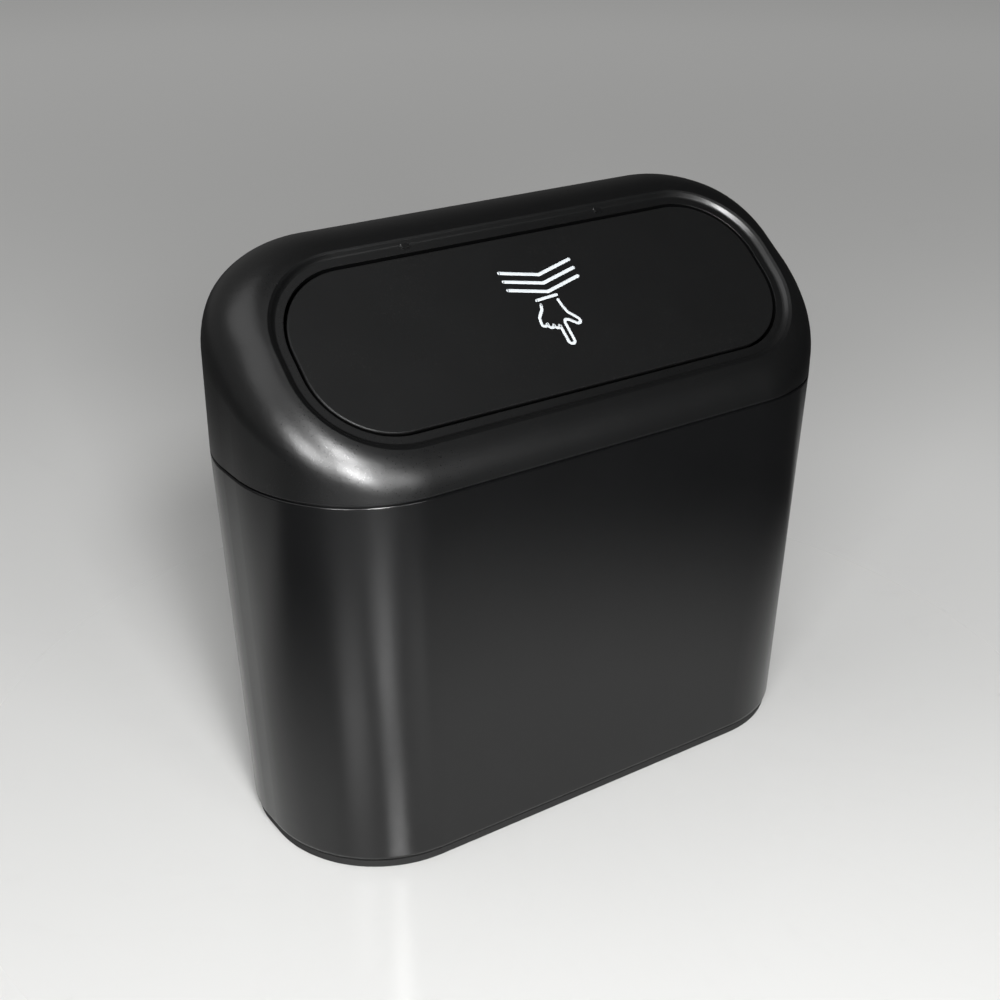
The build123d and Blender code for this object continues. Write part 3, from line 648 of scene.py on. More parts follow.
@dataclass(frozen=True)
class MouldedPlastic:
    """Black moulded plastic: a near-black tone that drifts, grain, rubbed patches, dust and soft edges."""

    name: str
    tone: Tone
    roughness: float
    grain_scale: float
    grain_depth: float
    peel: float = 0.3
    rub: float = 0.4
    rub_gloss: float = 0.07
    sparkle_gloss: float = 0.06
    dust: float = 0.1
    dust_tone: Tone = (0.16, 0.155, 0.145)
    dust_roughness: float = 0.3
    edge_radius: float = 0.2 * MM
    edge_lift: float = 0.5
    edge_paler: float = 2.2
    specular: float = 0.5
    drift: float = 0.25
    drift_scale: float = 38.0

    def material(self, effects: Effects) -> bpy.types.Material:
        """Build the finish.

        Args:
            effects: the shared node groups.

        Returns:
            The material.
        """
        made, wiring, shader, place = fresh_material(self.name)
        grain = wiring.group(effects.grain, Place=place, Scale=self.grain_scale, Peel=self.peel)
        marks = wiring.group(effects.handling, Place=place, Rub=self.rub, Dust=self.dust)
        edges = wiring.group(effects.edges, Place=place, Radius=self.edge_radius)
        base = wiring.blend(wiring.noise(place, self.drift_scale, 3.0), tinted(self.tone, 1.0 - self.drift),
                            tinted(self.tone, 1.0 + self.drift))
        polished = wiring.blend(wiring.product(edges.outputs["Worn"], self.edge_lift), base,
                                tinted(self.tone, self.edge_paler))
        dusted = wiring.blend(marks.outputs["Dusty"], polished, self.dust_tone)
        wiring.feed(shader.inputs["Base Color"], dusted)
        rubbed = wiring.spread(marks.outputs["Rubbed"], 0.0, 1.0, self.roughness,
                               self.roughness - self.rub_gloss, smooth=False)
        sparkle = wiring.product(grain.outputs["Sparkle"], self.sparkle_gloss)
        sparkled = wiring.sum("SUBTRACT", rubbed, sparkle)
        dulled = wiring.sum("ADD", sparkled, wiring.product(marks.outputs["Dusty"], self.dust_roughness))
        wiring.feed(shader.inputs["Roughness"], dulled)
        bump = wiring.node("ShaderNodeBump", Distance=self.grain_depth, Height=grain.outputs["Height"],
                           Normal=edges.outputs["Rounded"])
        wiring.feed(shader.inputs["Normal"], bump.outputs["Normal"])
        shader.inputs["Specular IOR Level"].default_value = self.specular
        return made


@dataclass(frozen=True)
class BrightMetal:
    """Plated or drawn metal: a bright tone with fine lines and soft tarnish."""

    name: str
    tone: Tone
    tarnish: Tone
    roughness: float
    along: float = 60.0
    across: float = 4000.0
    line_depth: float = 0.004 * MM
    line_darker: float = 0.82
    line_paler: float = 1.18
    line_gloss: float = 0.07
    line_dull: float = 0.09
    tarnish_share: float = 0.55
    tarnish_dull: float = 0.12
    on_uv: bool = False

    def material(self, effects: Effects) -> bpy.types.Material:
        """Build the finish.

        Args:
            effects: the shared node groups.

        Returns:
            The material.
        """
        made, wiring, shader, place = fresh_material(self.name)
        if self.on_uv:
            place = wiring.node("ShaderNodeTexCoord").outputs["UV"]
        lines = wiring.group(effects.streaks, Place=place, Along=self.along, Across=self.across)
        streak, tarnish = lines.outputs["Streak"], lines.outputs["Tarnish"]
        darker, paler = (tinted(self.tone, factor) for factor in (self.line_darker, self.line_paler))
        streaked = wiring.blend(streak, darker, paler)
        tarnished = wiring.blend(wiring.product(tarnish, self.tarnish_share), streaked, self.tarnish)
        wiring.feed(shader.inputs["Base Color"], tarnished)
        rough = wiring.spread(streak, 0.3, 0.7, self.roughness - self.line_gloss,
                              self.roughness + self.line_dull)
        dulled = wiring.sum("ADD", rough, wiring.product(tarnish, self.tarnish_dull))
        wiring.feed(shader.inputs["Roughness"], dulled)
        shader.inputs["Metallic"].default_value = 1.0
        bump = wiring.node("ShaderNodeBump", Distance=self.line_depth, Height=streak)
        wiring.feed(shader.inputs["Normal"], bump.outputs["Normal"])
        return made


@dataclass(frozen=True)
class PrintedInk:
    """Matt white ink, printed on in one pass: slightly thin in places, with tiny pinholes."""

    name: str
    tone: Tone
    under: Tone
    roughness: float = 0.55
    gloss: float = 0.05
    dull: float = 0.08
    grain_scale: float = 2100.0
    grain_depth: float = 0.012 * MM
    peel: float = 0.2
    thin_scale: float = 240.0
    thin: Spread = (0.45, 0.8, 0.0, 0.3)
    hole_scale: float = 3400.0
    holes: Spread = (0.68, 0.76, 0.0, 0.5)

    def material(self, effects: Effects) -> bpy.types.Material:
        """Build the finish.

        Args:
            effects: the shared node groups.

        Returns:
            The material.
        """
        made, wiring, shader, place = fresh_material(self.name)
        grain = wiring.group(effects.grain, Place=place, Scale=self.grain_scale, Peel=self.peel)
        thickness = wiring.noise(place, self.thin_scale, 3.0)
        pinholes = wiring.spread(wiring.noise(place, self.hole_scale, 1.0), *self.holes)
        worn = wiring.sum("ADD", pinholes, wiring.spread(thickness, *self.thin), clamp=True)
        wiring.feed(shader.inputs["Base Color"], wiring.blend(worn, self.tone, self.under))
        wiring.feed(shader.inputs["Roughness"], wiring.spread(
            thickness, 0.3, 0.7, self.roughness - self.gloss, self.roughness + self.dull))
        bump = wiring.node("ShaderNodeBump", Distance=self.grain_depth, Height=grain.outputs["Height"])
        wiring.feed(shader.inputs["Normal"], bump.outputs["Normal"])
        return made


@dataclass
class Palette:
    """Every finish of the part, by slot, and the ink of the lid's marks."""

    effects: Effects
    by_slot: dict[Slot, bpy.types.Material] = field(default_factory=dict)
    ink: bpy.types.Material | None = None

    def mix(self) -> None:
        """Build the materials of all slots, and the ink."""
        recipes = {
            Slot.BIN: MouldedPlastic(
                "bin black", tone=(0.0026, 0.0027, 0.0029), roughness=0.22, grain_scale=1500.0,
                grain_depth=0.0025 * MM, rub=0.3, dust=0.02, edge_radius=0.25 * MM),
            Slot.COVER: MouldedPlastic(
                "cover black", tone=(0.0018, 0.0019, 0.0020), roughness=0.34, grain_scale=2400.0,
                grain_depth=0.015 * MM, rub=0.2, dust=0.04, edge_radius=0.25 * MM, specular=0.75),
            Slot.LID: MouldedPlastic(
                "lid black", tone=(0.0020, 0.0021, 0.0022), roughness=0.43, grain_scale=2900.0,
                grain_depth=0.008 * MM, rub=0.2, dust=0.04, edge_radius=0.35 * MM),
            Slot.INNER: MouldedPlastic(
                "inner black", tone=(0.008, 0.0082, 0.0085), roughness=0.45, grain_scale=1200.0,
                grain_depth=0.005 * MM, rub=0.1, dust=0.1, edge_radius=0.15 * MM),
            Slot.SOLE: MouldedPlastic(
                "sole rubber", tone=(0.011, 0.011, 0.011), roughness=0.82, grain_scale=1700.0,
                grain_depth=0.02 * MM, rub=0.1, dust=0.5, specular=0.35),
            Slot.PAD: MouldedPlastic(
                "pad rubber", tone=(0.014, 0.014, 0.014), roughness=0.8, grain_scale=1700.0,
                grain_depth=0.02 * MM, rub=0.1, dust=0.3, specular=0.35),
            Slot.STEEL: BrightMetal(
                "zinc plated steel", tone=(0.56, 0.57, 0.58), tarnish=(0.36, 0.34, 0.28), roughness=0.30),
            Slot.WIRE: BrightMetal(
                "spring wire", tone=(0.42, 0.42, 0.43), tarnish=(0.2, 0.17, 0.13), roughness=0.32,
                along=0.25, across=40.0, on_uv=True),
            Slot.MAGNET: BrightMetal(
                "nickel plated magnet", tone=(0.62, 0.60, 0.56), tarnish=(0.4, 0.37, 0.32), roughness=0.22),
        }
        self.by_slot = {slot: recipe.material(self.effects) for slot, recipe in recipes.items()}
        ink = PrintedInk("white ink", tone=(0.50, 0.53, 0.55), under=(0.24, 0.25, 0.26))
        self.ink = ink.material(self.effects)

    def dress(self, node: bpy.types.Object, slot: Slot) -> None:
        """Give a piece that is kept from the frame its finish.

        Args:
            node: the piece, whose mesh stays as it is.
            slot: the slot that the finish is for.
        """
        finish = self.by_slot[slot]
        for index in range(len(node.data.materials)):
            node.data.materials[index] = finish
        if not node.data.materials:
            node.data.materials.append(finish)
        log.info("dressed %s in %s", node.name, finish.name)


def enlist(piece: bpy.types.Object, stands_for: str | None = None,
           body: Body | None = None) -> bpy.types.Object:
    """Report a new piece, hide the frame's piece that it stands for, and attach it to its body.

    Args:
        piece: the new piece.
        stands_for: the frame's node that it replaces, if any.
        body: the body that it rides on, if any.

    Returns:
        The piece.
    """
    log.info("built %s with %d faces", piece.name, len(piece.data.polygons))
    if stands_for:
        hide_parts(stands_for)
    if body:
        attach(piece, body.value)
    return piece


@dataclass(frozen=True)
class Screw:
    """Self-tapping screw with a flat round head, a cross recess and a coarse thread, along local Z.

    The head's face lies at height 0 and the tip at minus the head's height and the shank's length.
    """

    shank_length: float
    head_radius: float = 2.1 * MM
    head_height: float = 1.2 * MM
    edge: float = 0.28 * MM
    under_edge: float = 0.05 * MM
    shank_radius: float = 1.1 * MM
    core_radius: float = 0.78 * MM
    thread_pitch: float = 0.8 * MM
    thread_share: float = 0.3
    thread_start: float = 0.5 * MM
    ring_step: float = 0.07 * MM
    tip_length: float = 1.2 * MM
    tip_bulge: float = 0.7
    tip_share: float = 0.45
    recess_depth: float = 0.75 * MM
    recess_arm: float = 1.15 * MM
    recess_width: float = 0.42 * MM
    recess_slope: float = 0.16 * MM
    recess_rise: float = 0.45
    end_gap: float = 0.02 * MM
    columns: int = 72

    def recess(self, across: np.ndarray, beside: np.ndarray) -> np.ndarray:
        """Depth of the cross recess.

        It is full where one coordinate is within half the arm's width of the middle and the other within
        the arm's reach, eased over a short slope at every side, and deepest at the middle.

        Args:
            across: first coordinate on the head's face.
            beside: second coordinate on the head's face.

        Returns:
            Depth below the face at each point.
        """
        near = np.minimum(np.abs(across), np.abs(beside))
        far = np.maximum(np.abs(across), np.abs(beside))
        slope = self.recess_slope
        sides = smooth_step((self.recess_width / 2 + slope / 2 - near) / slope)
        ends = smooth_step((self.recess_arm + slope - far) / (2 * slope))
        depth = self.recess_depth * (1 - self.recess_rise * np.clip(far / self.recess_arm, 0, 1))
        return depth * sides * ends

    def head(self, angle: np.ndarray) -> np.ndarray:
        """Rings from the middle of the head's face out, over its rounded edge and under it to the shank.

        On the face a ring's height is minus the recess. On the edge a point at an angle a of the quarter
        circle lies sine a out of, and cosine a above, the middle of that circle.

        Args:
            angle: the angles of the points round.

        Returns:
            The head's rings.
        """
        flat_radius = self.head_radius - self.edge
        face_radius = np.linspace(self.end_gap, flat_radius, 30)[:, None]
        depth = self.recess(face_radius * np.cos(angle), face_radius * np.sin(angle))
        bend = np.linspace(0, np.pi / 2, 6)[1:]
        rounded = np.stack([flat_radius + self.edge * np.sin(bend),
                            -self.edge + self.edge * np.cos(bend)], axis=-1)
        under = np.array([
            [self.head_radius, -self.head_height + self.under_edge],
            [self.head_radius - self.under_edge, -self.head_height],
            [self.shank_radius, -self.head_height],
        ])
        rim = np.concatenate([rounded, under])
        return np.concatenate([rings_about_z(face_radius, -depth, angle),
                               rings_about_z(rim[:, :1], rim[:, 1:], angle)])

    def thread(self, angle: np.ndarray) -> np.ndarray:
        """Rings down the thread.

        The radius is the core's plus a ridge that is highest where the depth over the pitch, less the
        angle's share of a turn, is a whole number and a half. It grows at the start and narrows at the tip.

        Args:
            angle: the angles of the points round.

        Returns:
            The thread's rings.
        """
        steps = int(self.shank_length / self.ring_step)
        down = np.linspace(self.end_gap, self.shank_length - self.end_gap, steps)[:, None]
        turn = (down / self.thread_pitch - angle / (2 * np.pi)) % 1.0
        ridge = np.clip(1 - np.abs(turn - 0.5) / self.thread_share, 0, 1)
        tip = np.clip((self.shank_length - down) / self.tip_length, 0, 1) ** self.tip_bulge
        start = smooth_step(down / self.thread_start)
        full = self.core_radius + (self.shank_radius - self.core_radius) * ridge * start
        radius = full * (self.tip_share + (1 - self.tip_share) * tip)
        return rings_about_z(radius, -self.head_height - down, angle)

    def surface(self) -> Surface:
        """The closed screw: its head's rings, then its thread's."""
        angle = full_turn(self.columns)
        return Surface.from_rings(np.concatenate([self.head(angle), self.thread(angle)]))


@dataclass
class ScrewSet:
    """Screws that share one size and one direction."""

    name: str
    node: str
    body: Body
    screw: Screw
    origins: np.ndarray
    axis: np.ndarray
    first_turn: float = 0.35
    next_turn: float = 1.1

    def build(self, palette: Palette) -> None:
        """Build the screws at their places, each turned a little further than the one before.

        Args:
            palette: the finishes.
        """
        one = self.screw.surface()
        beside = np.cross(self.axis, ACROSS)
        shells = []
        for index, origin in enumerate(self.origins):
            turn = self.first_turn + self.next_turn * index
            shells.append(one.moved(origin, self.axis, math.cos(turn) * ACROSS + math.sin(turn) * beside))
        piece = Surface.joined(shells).build(self.name, palette.by_slot[Slot.STEEL])
        enlist(piece, self.node, self.body)


class SubAssembly:
    """A group of the bin's pieces: the finishes of those kept from the frame, and those built anew."""

    finishes: ClassVar[dict[str, Slot]] = {}

    def dress(self, nodes: dict[str, bpy.types.Object], palette: Palette) -> None:
        """Give the pieces that are kept from the frame their finishes.

        Args:
            nodes: the frame's pieces by name.
            palette: the finishes.
        """
        for name, slot in self.finishes.items():
            palette.dress(nodes[name], slot)

    def build(self, palette: Palette) -> None:
        """Build the new pieces, which a sub-assembly has none of unless it says so."""


@dataclass
class Bin(SubAssembly):
    """The tapered bin with its soft sole."""

    finishes = {"body_shell": Slot.BIN, "sole_pad": Slot.SOLE}


@dataclass
class Cover(SubAssembly):
    """The rolled cover, the frame under it and the screws that join them."""

    finishes = {"top_cover": Slot.COVER, "cover_frame": Slot.INNER}
    boss_x: float = 81.92 * MM
    boss_y: float = 25.92 * MM
    head_bottom: float = 122.15 * MM
    screw_length: float = 8.0 * MM

    def build(self, palette: Palette) -> None:
        """Build the four screws, which point up with their heads below.

        Args:
            palette: the finishes.
        """
        origins = np.column_stack([CORNER_SIGNS * [self.boss_x, self.boss_y], np.full(4, self.head_bottom)])
        ScrewSet("cover_screws_detailed", "frame_screws", Body.COVER, Screw(self.screw_length), origins,
                 np.array([0.0, 0.0, -1.0])).build(palette)


@dataclass
class Marks:
    """The white marks on the lid: nested arrow bars over an outline hand that points to the near edge.

    The hand's places are millimetres across the lid and up the slope, from the lid's middle.
    """

    slope: Slope
    bar_middle: float = 2.8 * MM
    bar_reach: float = 13.2 * MM
    bar_rise: float = 3.2 * MM
    bar_lowest: float = 6.0 * MM
    bar_pitch: float = 3.1 * MM
    bar_count: int = 3
    bar_width: float = 1.1 * MM
    hand_width: float = 0.95 * MM
    hand_softness: float = 0.7 * MM
    back: tuple = ((-1.7, 2.6), (-2.3, 0.6), (-4.5, -1.9))
    curled: tuple = ((-3.95, -4.1), (-2.05, -5.0), (-0.15, -5.5))
    curled_half: float = 0.95 * MM
    pointing: tuple = (1.9, -11.4)
    pointing_half: float = 1.05 * MM
    web: tuple = ((2.95, -5.2), (3.4, -4.3), (4.6, -4.5))
    thumb: tuple = (7.3, -5.4)
    thumb_half: float = 1.0 * MM
    thumb_lean: float = 0.8
    heel: tuple = ((5.6, -2.0), (4.9, 0.6), (4.6, 3.1))
    cuff: tuple = ((-2.9, 3.8), (1.3, 4.15), (5.5, 4.4))
    ink_height: float = 0.05 * MM
    ink_depth: float = 0.04 * MM
    ink_step: float = 0.12 * MM
    ink_thinnest: float = 0.03 * MM
    shoulder_in: float = 0.86
    shoulder_height: float = 0.4

    def softened(self, corners: np.ndarray, softness: float) -> np.ndarray:
        """A path read at even steps, with its corners rounded.

        Each point becomes the mean of its neighbours within the softness. Past its ends the path goes on as
        its own reflection in the end point, so that the ends stay where they are.

        Args:
            corners: array of (across, along) places, in metres.
            softness: length over which corners are rounded, 0 for sharp ones.

        Returns:
            The path's points.
        """
        run = run_along(corners)
        even = np.linspace(0, run[-1], int(run[-1] / self.ink_step))
        path = np.stack([np.interp(even, run, corners[:, axis]) for axis in (0, 1)], axis=-1)
        reach = int(softness / self.ink_step / 2)
        if not reach:
            return path
        before = 2 * path[0] - path[reach:0:-1]
        after = 2 * path[-1] - path[-2:-reach - 2:-1]
        padded = np.concatenate([before, path, after])
        weight = np.full(2 * reach + 1, 1 / (2 * reach + 1))
        return np.stack([np.convolve(padded[:, axis], weight, "valid") for axis in (0, 1)], axis=-1)

    def ribbon(self, corners: np.ndarray, width: float, softness: float = 0.0) -> Surface:
        """A flat raised line of ink along a path on the lid.

        Its cross-section is a low six-sided band as wide as the line. At both ends it narrows as a circle
        does, to the root of the half width squared less the distance into the end squared.

        Args:
            corners: array of (across, along) places, in metres.
            width: width of the line.
            softness: length over which corners are rounded, 0 for sharp ones.

        Returns:
            The closed ribbon.
        """
        path = self.softened(corners, softness)
        run = run_along(path)
        cap = width / 2
        near_ends = cap * (1 - np.cos(np.linspace(0, np.pi / 2, 8)))
        spaced = np.arange(cap, run[-1] - cap, self.ink_step)
        stations = np.unique(np.concatenate([near_ends, spaced, run[-1] - near_ends]))
        path = np.stack([np.interp(stations, run, path[:, axis]) for axis in (0, 1)], axis=-1)
        tangent = np.gradient(path, stations, axis=0)
        tangent /= np.linalg.norm(tangent, axis=1, keepdims=True)
        beside = np.stack([-tangent[:, 1], tangent[:, 0]], axis=-1)
        to_end = np.minimum(stations, stations[-1] - stations)
        into_end = np.clip(cap - to_end, 0, None)
        half = np.sqrt(np.clip(cap**2 - into_end**2, self.ink_thinnest**2, None))
        inner, top, foot = self.shoulder_in, self.ink_height, -self.ink_depth
        shoulder = self.shoulder_height * top
        lateral = np.array([-1.0, -1.0, -inner, inner, 1.0, 1.0])
        height = np.array([foot, shoulder, top, top, shoulder, foot])
        flat = path[:, None, :] + (half[:, None] * lateral)[..., None] * beside[:, None, :]
        rings = self.slope.place(flat[..., 0], flat[..., 1], np.broadcast_to(height, flat.shape[:2]))
        return Surface.from_rings(rings, stations / MM)

    def bars(self) -> list[Surface]:
        """Nested bars, each bent at its middle to point down the slope."""
        reach, rise = self.bar_reach, self.bar_rise
        shape = np.array([[-reach, rise], [0.0, 0.0], [reach, rise]])
        heights = [self.bar_lowest + step * self.bar_pitch for step in range(self.bar_count)]
        return [self.ribbon(shape + [self.bar_middle, height], self.bar_width) for height in heights]

    def fingertip(self, middle: tuple[float, float], half_width: float, lean: float = 0.0) -> np.ndarray:
        """Half circle round a fingertip, from its left side to its right, turned by a lean.

        The point at angle a is the middle less half the width times cosine a across, and less half the
        width times sine a along.

        Args:
            middle: the tip's middle across and along the lid, in millimetres.
            half_width: half the finger's width, in metres.
            lean: turn of the half circle, in radians.

        Returns:
            Points round the tip, in metres.
        """
        angle = np.linspace(0, np.pi, 13) + lean
        return np.array(middle) * MM - half_width * np.stack([np.cos(angle), np.sin(angle)], axis=-1)

    def hand(self) -> list[Surface]:
        """Outline of a hand, and a short cuff line across the wrist.

        Returns:
            A line round the back, the curled fingers, the pointing finger and the thumb, and the cuff.
        """
        outline = np.concatenate([
            np.array(self.back) * MM,
            *(self.fingertip(tip, self.curled_half) for tip in self.curled),
            self.fingertip(self.pointing, self.pointing_half),
            np.array(self.web) * MM,
            self.fingertip(self.thumb, self.thumb_half, self.thumb_lean),
            np.array(self.heel) * MM,
        ])
        return [self.ribbon(line, self.hand_width, self.hand_softness)
                for line in (outline, np.array(self.cuff) * MM)]

    def build(self, palette: Palette) -> None:
        """Build the marks as one inked piece on the lid.

        Args:
            palette: the finishes.
        """
        piece = Surface.joined(self.bars() + self.hand()).build("lid_marks_ink", palette.ink)
        enlist(piece, body=Body.LID)


@dataclass
class Lid(SubAssembly):
    """The lid's panel and liner, its screws, the strike plate with two rivets, and the marks."""

    finishes = {"lid_panel": Slot.LID, "lid_liner": Slot.INNER, "strike_plate": Slot.STEEL}
    slope: Slope
    screw_x: float = 66.0 * MM
    screw_along: float = 12.0 * MM
    screw_length: float = 3.0 * MM
    screw_head: float = 1.2 * MM
    underside: float = -3.8 * MM
    strike_along: float = -18.4 * MM
    strike_bottom: float = -4.6 * MM
    rivet_x: float = 5.6 * MM
    rivet_radius: float = 1.1 * MM
    rivet_head_radius: float = 1.7 * MM
    rivet_head: float = 0.6 * MM
    rivet_reach: float = 2.4 * MM
    rivet_edge: float = 0.1 * MM
    dome_from: float = math.radians(12)
    dome_to: float = math.radians(86)
    dome_power: float = 0.8

    def rivet(self) -> Surface:
        """Rivet about local Z, its domed head up from height 0, its shank down to an upset end.

        A point of the dome at a lean a lies the head's radius times sine a out, at a height that goes with
        a power of cosine a. Inside the dome is a dimple.

        Returns:
            The closed rivet.
        """
        lean = np.linspace(self.dome_from, self.dome_to, 12)
        height = (np.cos(lean) / math.cos(self.dome_from)) ** self.dome_power
        dome = np.stack([self.rivet_head_radius * np.sin(lean), self.rivet_head * height], axis=-1)
        dimple = np.array([[0.05, 0.72], [0.18, 0.76], [0.28, 0.97]]) * [MM, self.rivet_head]
        shank = np.array([
            [self.rivet_head_radius, 0.0],
            [self.rivet_radius, 0.0],
            [self.rivet_radius, -self.rivet_reach + self.rivet_edge],
            [self.rivet_radius - self.rivet_edge, -self.rivet_reach],
        ])
        return turned(np.concatenate([dimple, dome, shank]))

    def build(self, palette: Palette) -> None:
        """Build the liner's screws, the strike plate's rivets, all with their heads down, and the marks.

        Args:
            palette: the finishes.
        """
        slope = self.slope
        across, along = (CORNER_SIGNS * [self.screw_x, self.screw_along]).T
        origins = slope.place(across, along, self.underside - self.screw_head)
        ScrewSet("lid_screws_detailed", "lid_screws", Body.LID, Screw(self.screw_length), origins,
                 -slope.out).build(palette)
        one = self.rivet()
        places = slope.place(np.array([-self.rivet_x, self.rivet_x]), self.strike_along, self.strike_bottom)
        shells = [one.moved(place, -slope.out) for place in places]
        rivets = Surface.joined(shells).build("strike_rivets_domed", palette.by_slot[Slot.STEEL])
        enlist(rivets, "strike_rivets", Body.LID)
        Marks(slope).build(palette)


@dataclass
class Latch(SubAssembly):
    """The push latch: housing, cap, plunger, magnet, spring and screws, all square to the lid."""

    finishes = {"latch_housing": Slot.INNER, "latch_cap": Slot.INNER, "latch_plunger": Slot.INNER}
    slope: Slope
    along: float = -18.4 * MM
    screw_x: float = 8.0 * MM
    screw_face: float = -11.35 * MM
    screw_length: float = 3.6 * MM
    magnet_top: float = -4.75 * MM
    magnet_radius: float = 2.8 * MM
    magnet_height: float = 2.0 * MM
    magnet_edge: float = 0.25 * MM
    magnet_flat: float = 1.4 * MM
    magnet_hub: float = 0.05 * MM
    magnet_sag: float = 0.005 * MM
    spring_seat: float = -29.35 * MM
    spring_top: float = -19.75 * MM
    spring_radius: float = 1.7 * MM
    wire_radius: float = 0.25 * MM
    closed_rise: float = 2.15
    turns: float = 6.5
    steps_per_turn: int = 40
    travel: float = 1.8 * MM

    def spring(self) -> Surface:
        """Compression spring: a circle whose rise is slow over the first and last turn, even between them.

        Returns:
            The closed wire, in world places.
        """
        turn = np.linspace(0, 1, int(self.turns * self.steps_per_turn)) * self.turns
        closed = self.closed_rise * self.wire_radius
        free = self.spring_top - self.spring_seat - 2 * self.wire_radius - 2 * closed
        ends = np.clip(turn, 0, 1) + np.clip(turn - self.turns + 1, 0, 1)
        rise = closed * ends + free * np.clip((turn - 1) / (self.turns - 2), 0, 1)
        angle = 2 * np.pi * turn
        path = self.slope.place(
            self.spring_radius * np.cos(angle), self.along + self.spring_radius * np.sin(angle),
            self.spring_seat + self.wire_radius + rise)
        return wire(path, self.wire_radius)

    def magnet(self) -> Surface:
        """Plated disc with rounded edges, its face dished by a hair toward its flat's rim.

        A point of the upper edge at an angle a of the quarter circle lies sine a out of, and cosine a
        above, the middle of that circle. The lower edge is the same upside down.

        Returns:
            The closed disc about local Z, its face up at height 0.
        """
        edge = self.magnet_edge
        bend = np.linspace(0, np.pi / 2, 7)
        top = np.stack([self.magnet_radius - edge + edge * np.sin(bend),
                        -edge + edge * np.cos(bend)], axis=-1)
        low = np.stack([top[::-1, 0], -self.magnet_height - top[::-1, 1]], axis=-1)
        face = np.array([[self.magnet_hub, 0.0], [self.magnet_flat, -self.magnet_sag]])
        back = np.array([[self.magnet_flat, -self.magnet_height], [self.magnet_hub, -self.magnet_height]])
        return turned(np.concatenate([face, top, low, back]), 64)

    def build(self, palette: Palette) -> None:
        """Build the screws, the magnet and the spring.

        Args:
            palette: the finishes.
        """
        slope = self.slope
        origins = slope.place(np.array([-self.screw_x, self.screw_x]), self.along, self.screw_face)
        ScrewSet("latch_screws_detailed", "latch_screws", Body.COVER, Screw(self.screw_length), origins,
                 slope.out).build(palette)
        disc = self.magnet().moved(slope.place(0.0, self.along, self.magnet_top), slope.out)
        magnet = disc.build("latch_magnet_plated", palette.by_slot[Slot.MAGNET])
        enlist(magnet, "latch_magnet", Body.PLUNGER)
        spring = self.spring().build("latch_spring_wound", palette.by_slot[Slot.WIRE])
        enlist(spring, "latch_spring", Body.COVER)
        seat = slope.place(0.0, self.along, self.spring_seat)
        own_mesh(spring)


@dataclass
class Hinge(SubAssembly):
    """The gooseneck hinge: two pins and two torsion springs on one axis."""

    finishes = {"hinge_pins": Slot.STEEL}
    slope: Slope
    axis_along: float = 34.6 * MM
    axis_above: float = -4.6 * MM
    coil_start: float = 40.9 * MM
    radius: float = 1.8 * MM
    wire_radius: float = 0.3 * MM
    pitch: float = 1.05 * MM
    turns: float = 3.625
    steps_per_turn: int = 44
    leg: float = 6.5 * MM
    leg_gap: float = 0.2 * MM
    leg_steps: int = 24

    def spring(self, side: Side) -> Surface:
        """Torsion spring: a straight leg, a coil and a second straight leg, both along the coil's tangents.

        The coil's point at an angle a is radius times cosine a up the slope, radius times sine a out of it,
        and toward the middle of the lid by the pitch for every full turn.

        Args:
            side: which end of the hinge it is for.

        Returns:
            The closed wire, in world places.
        """
        angle = np.linspace(0, 2 * np.pi * self.turns, int(self.turns * self.steps_per_turn))
        inward = self.pitch * angle / (2 * np.pi)
        coil = np.stack([-inward, self.radius * np.cos(angle), self.radius * np.sin(angle)], axis=-1)
        first = coil[1] - coil[0]
        last = coil[-1] - coil[-2]
        reach = np.linspace(self.leg, self.leg_gap, self.leg_steps)[:, None]
        lead = coil[0] - reach * first / np.linalg.norm(first)
        tail = coil[-1] + reach[::-1] * last / np.linalg.norm(last)
        local = np.concatenate([lead, coil, tail])
        path = self.slope.place(side.value * (self.coil_start + local[:, 0]), self.axis_along + local[:, 1],
                                self.axis_above + local[:, 2])
        return wire(path, self.wire_radius)

    def build(self, palette: Palette) -> None:
        """Build both springs in place of the frame's own, on no body.

        Args:
            palette: the finishes.
        """
        for side in Side:
            name = f"torsion_spring_{side.name.lower()}"
            spring = self.spring(side).build(f"{name}_wound", palette.by_slot[Slot.WIRE])
            enlist(spring, name)
            coil_end = self.coil_start - self.pitch * self.turns
            start, end = (self.slope.place(side.value * x, self.axis_along, self.axis_above)
                          for x in (self.coil_start, coil_end))
            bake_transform(spring)


@dataclass
class Hook(SubAssembly):
    """The hanging hook that drops into the rail on the bin's back, with its soft pad."""

    finishes = {"hanging_hook": Slot.INNER, "hook_pad": Slot.PAD}


@dataclass(frozen=True)
class Lamp:
    """A square soft lamp that looks at the part.

    The bearing is degrees round from the near side, positive to the right, and the height degrees above the
    floor. The distance and the size of the square are metres, and the power is watts.
    """

    name: str
    bearing: float
    height: float
    distance: float
    size: float
    power: float
    aim: Place = (0.0, 0.0, 0.09)

    def hang(self) -> None:
        """Place the lamp in the scene."""
        data = bpy.data.lights.new(self.name, "AREA")
        data.shape = "SQUARE"
        data.size = self.size
        data.energy = self.power
        lamp = bpy.data.objects.new(self.name, data)
        bpy.context.scene.collection.objects.link(lamp)
        turn, rise = math.radians(self.bearing), math.radians(self.height)
        way = Vector((math.sin(turn) * math.cos(rise), -math.cos(turn) * math.cos(rise), math.sin(rise)))
        lamp.location = Vector(self.aim) + way * self.distance
        lamp.rotation_euler = (-way).to_track_quat("-Z", "Y").to_euler()


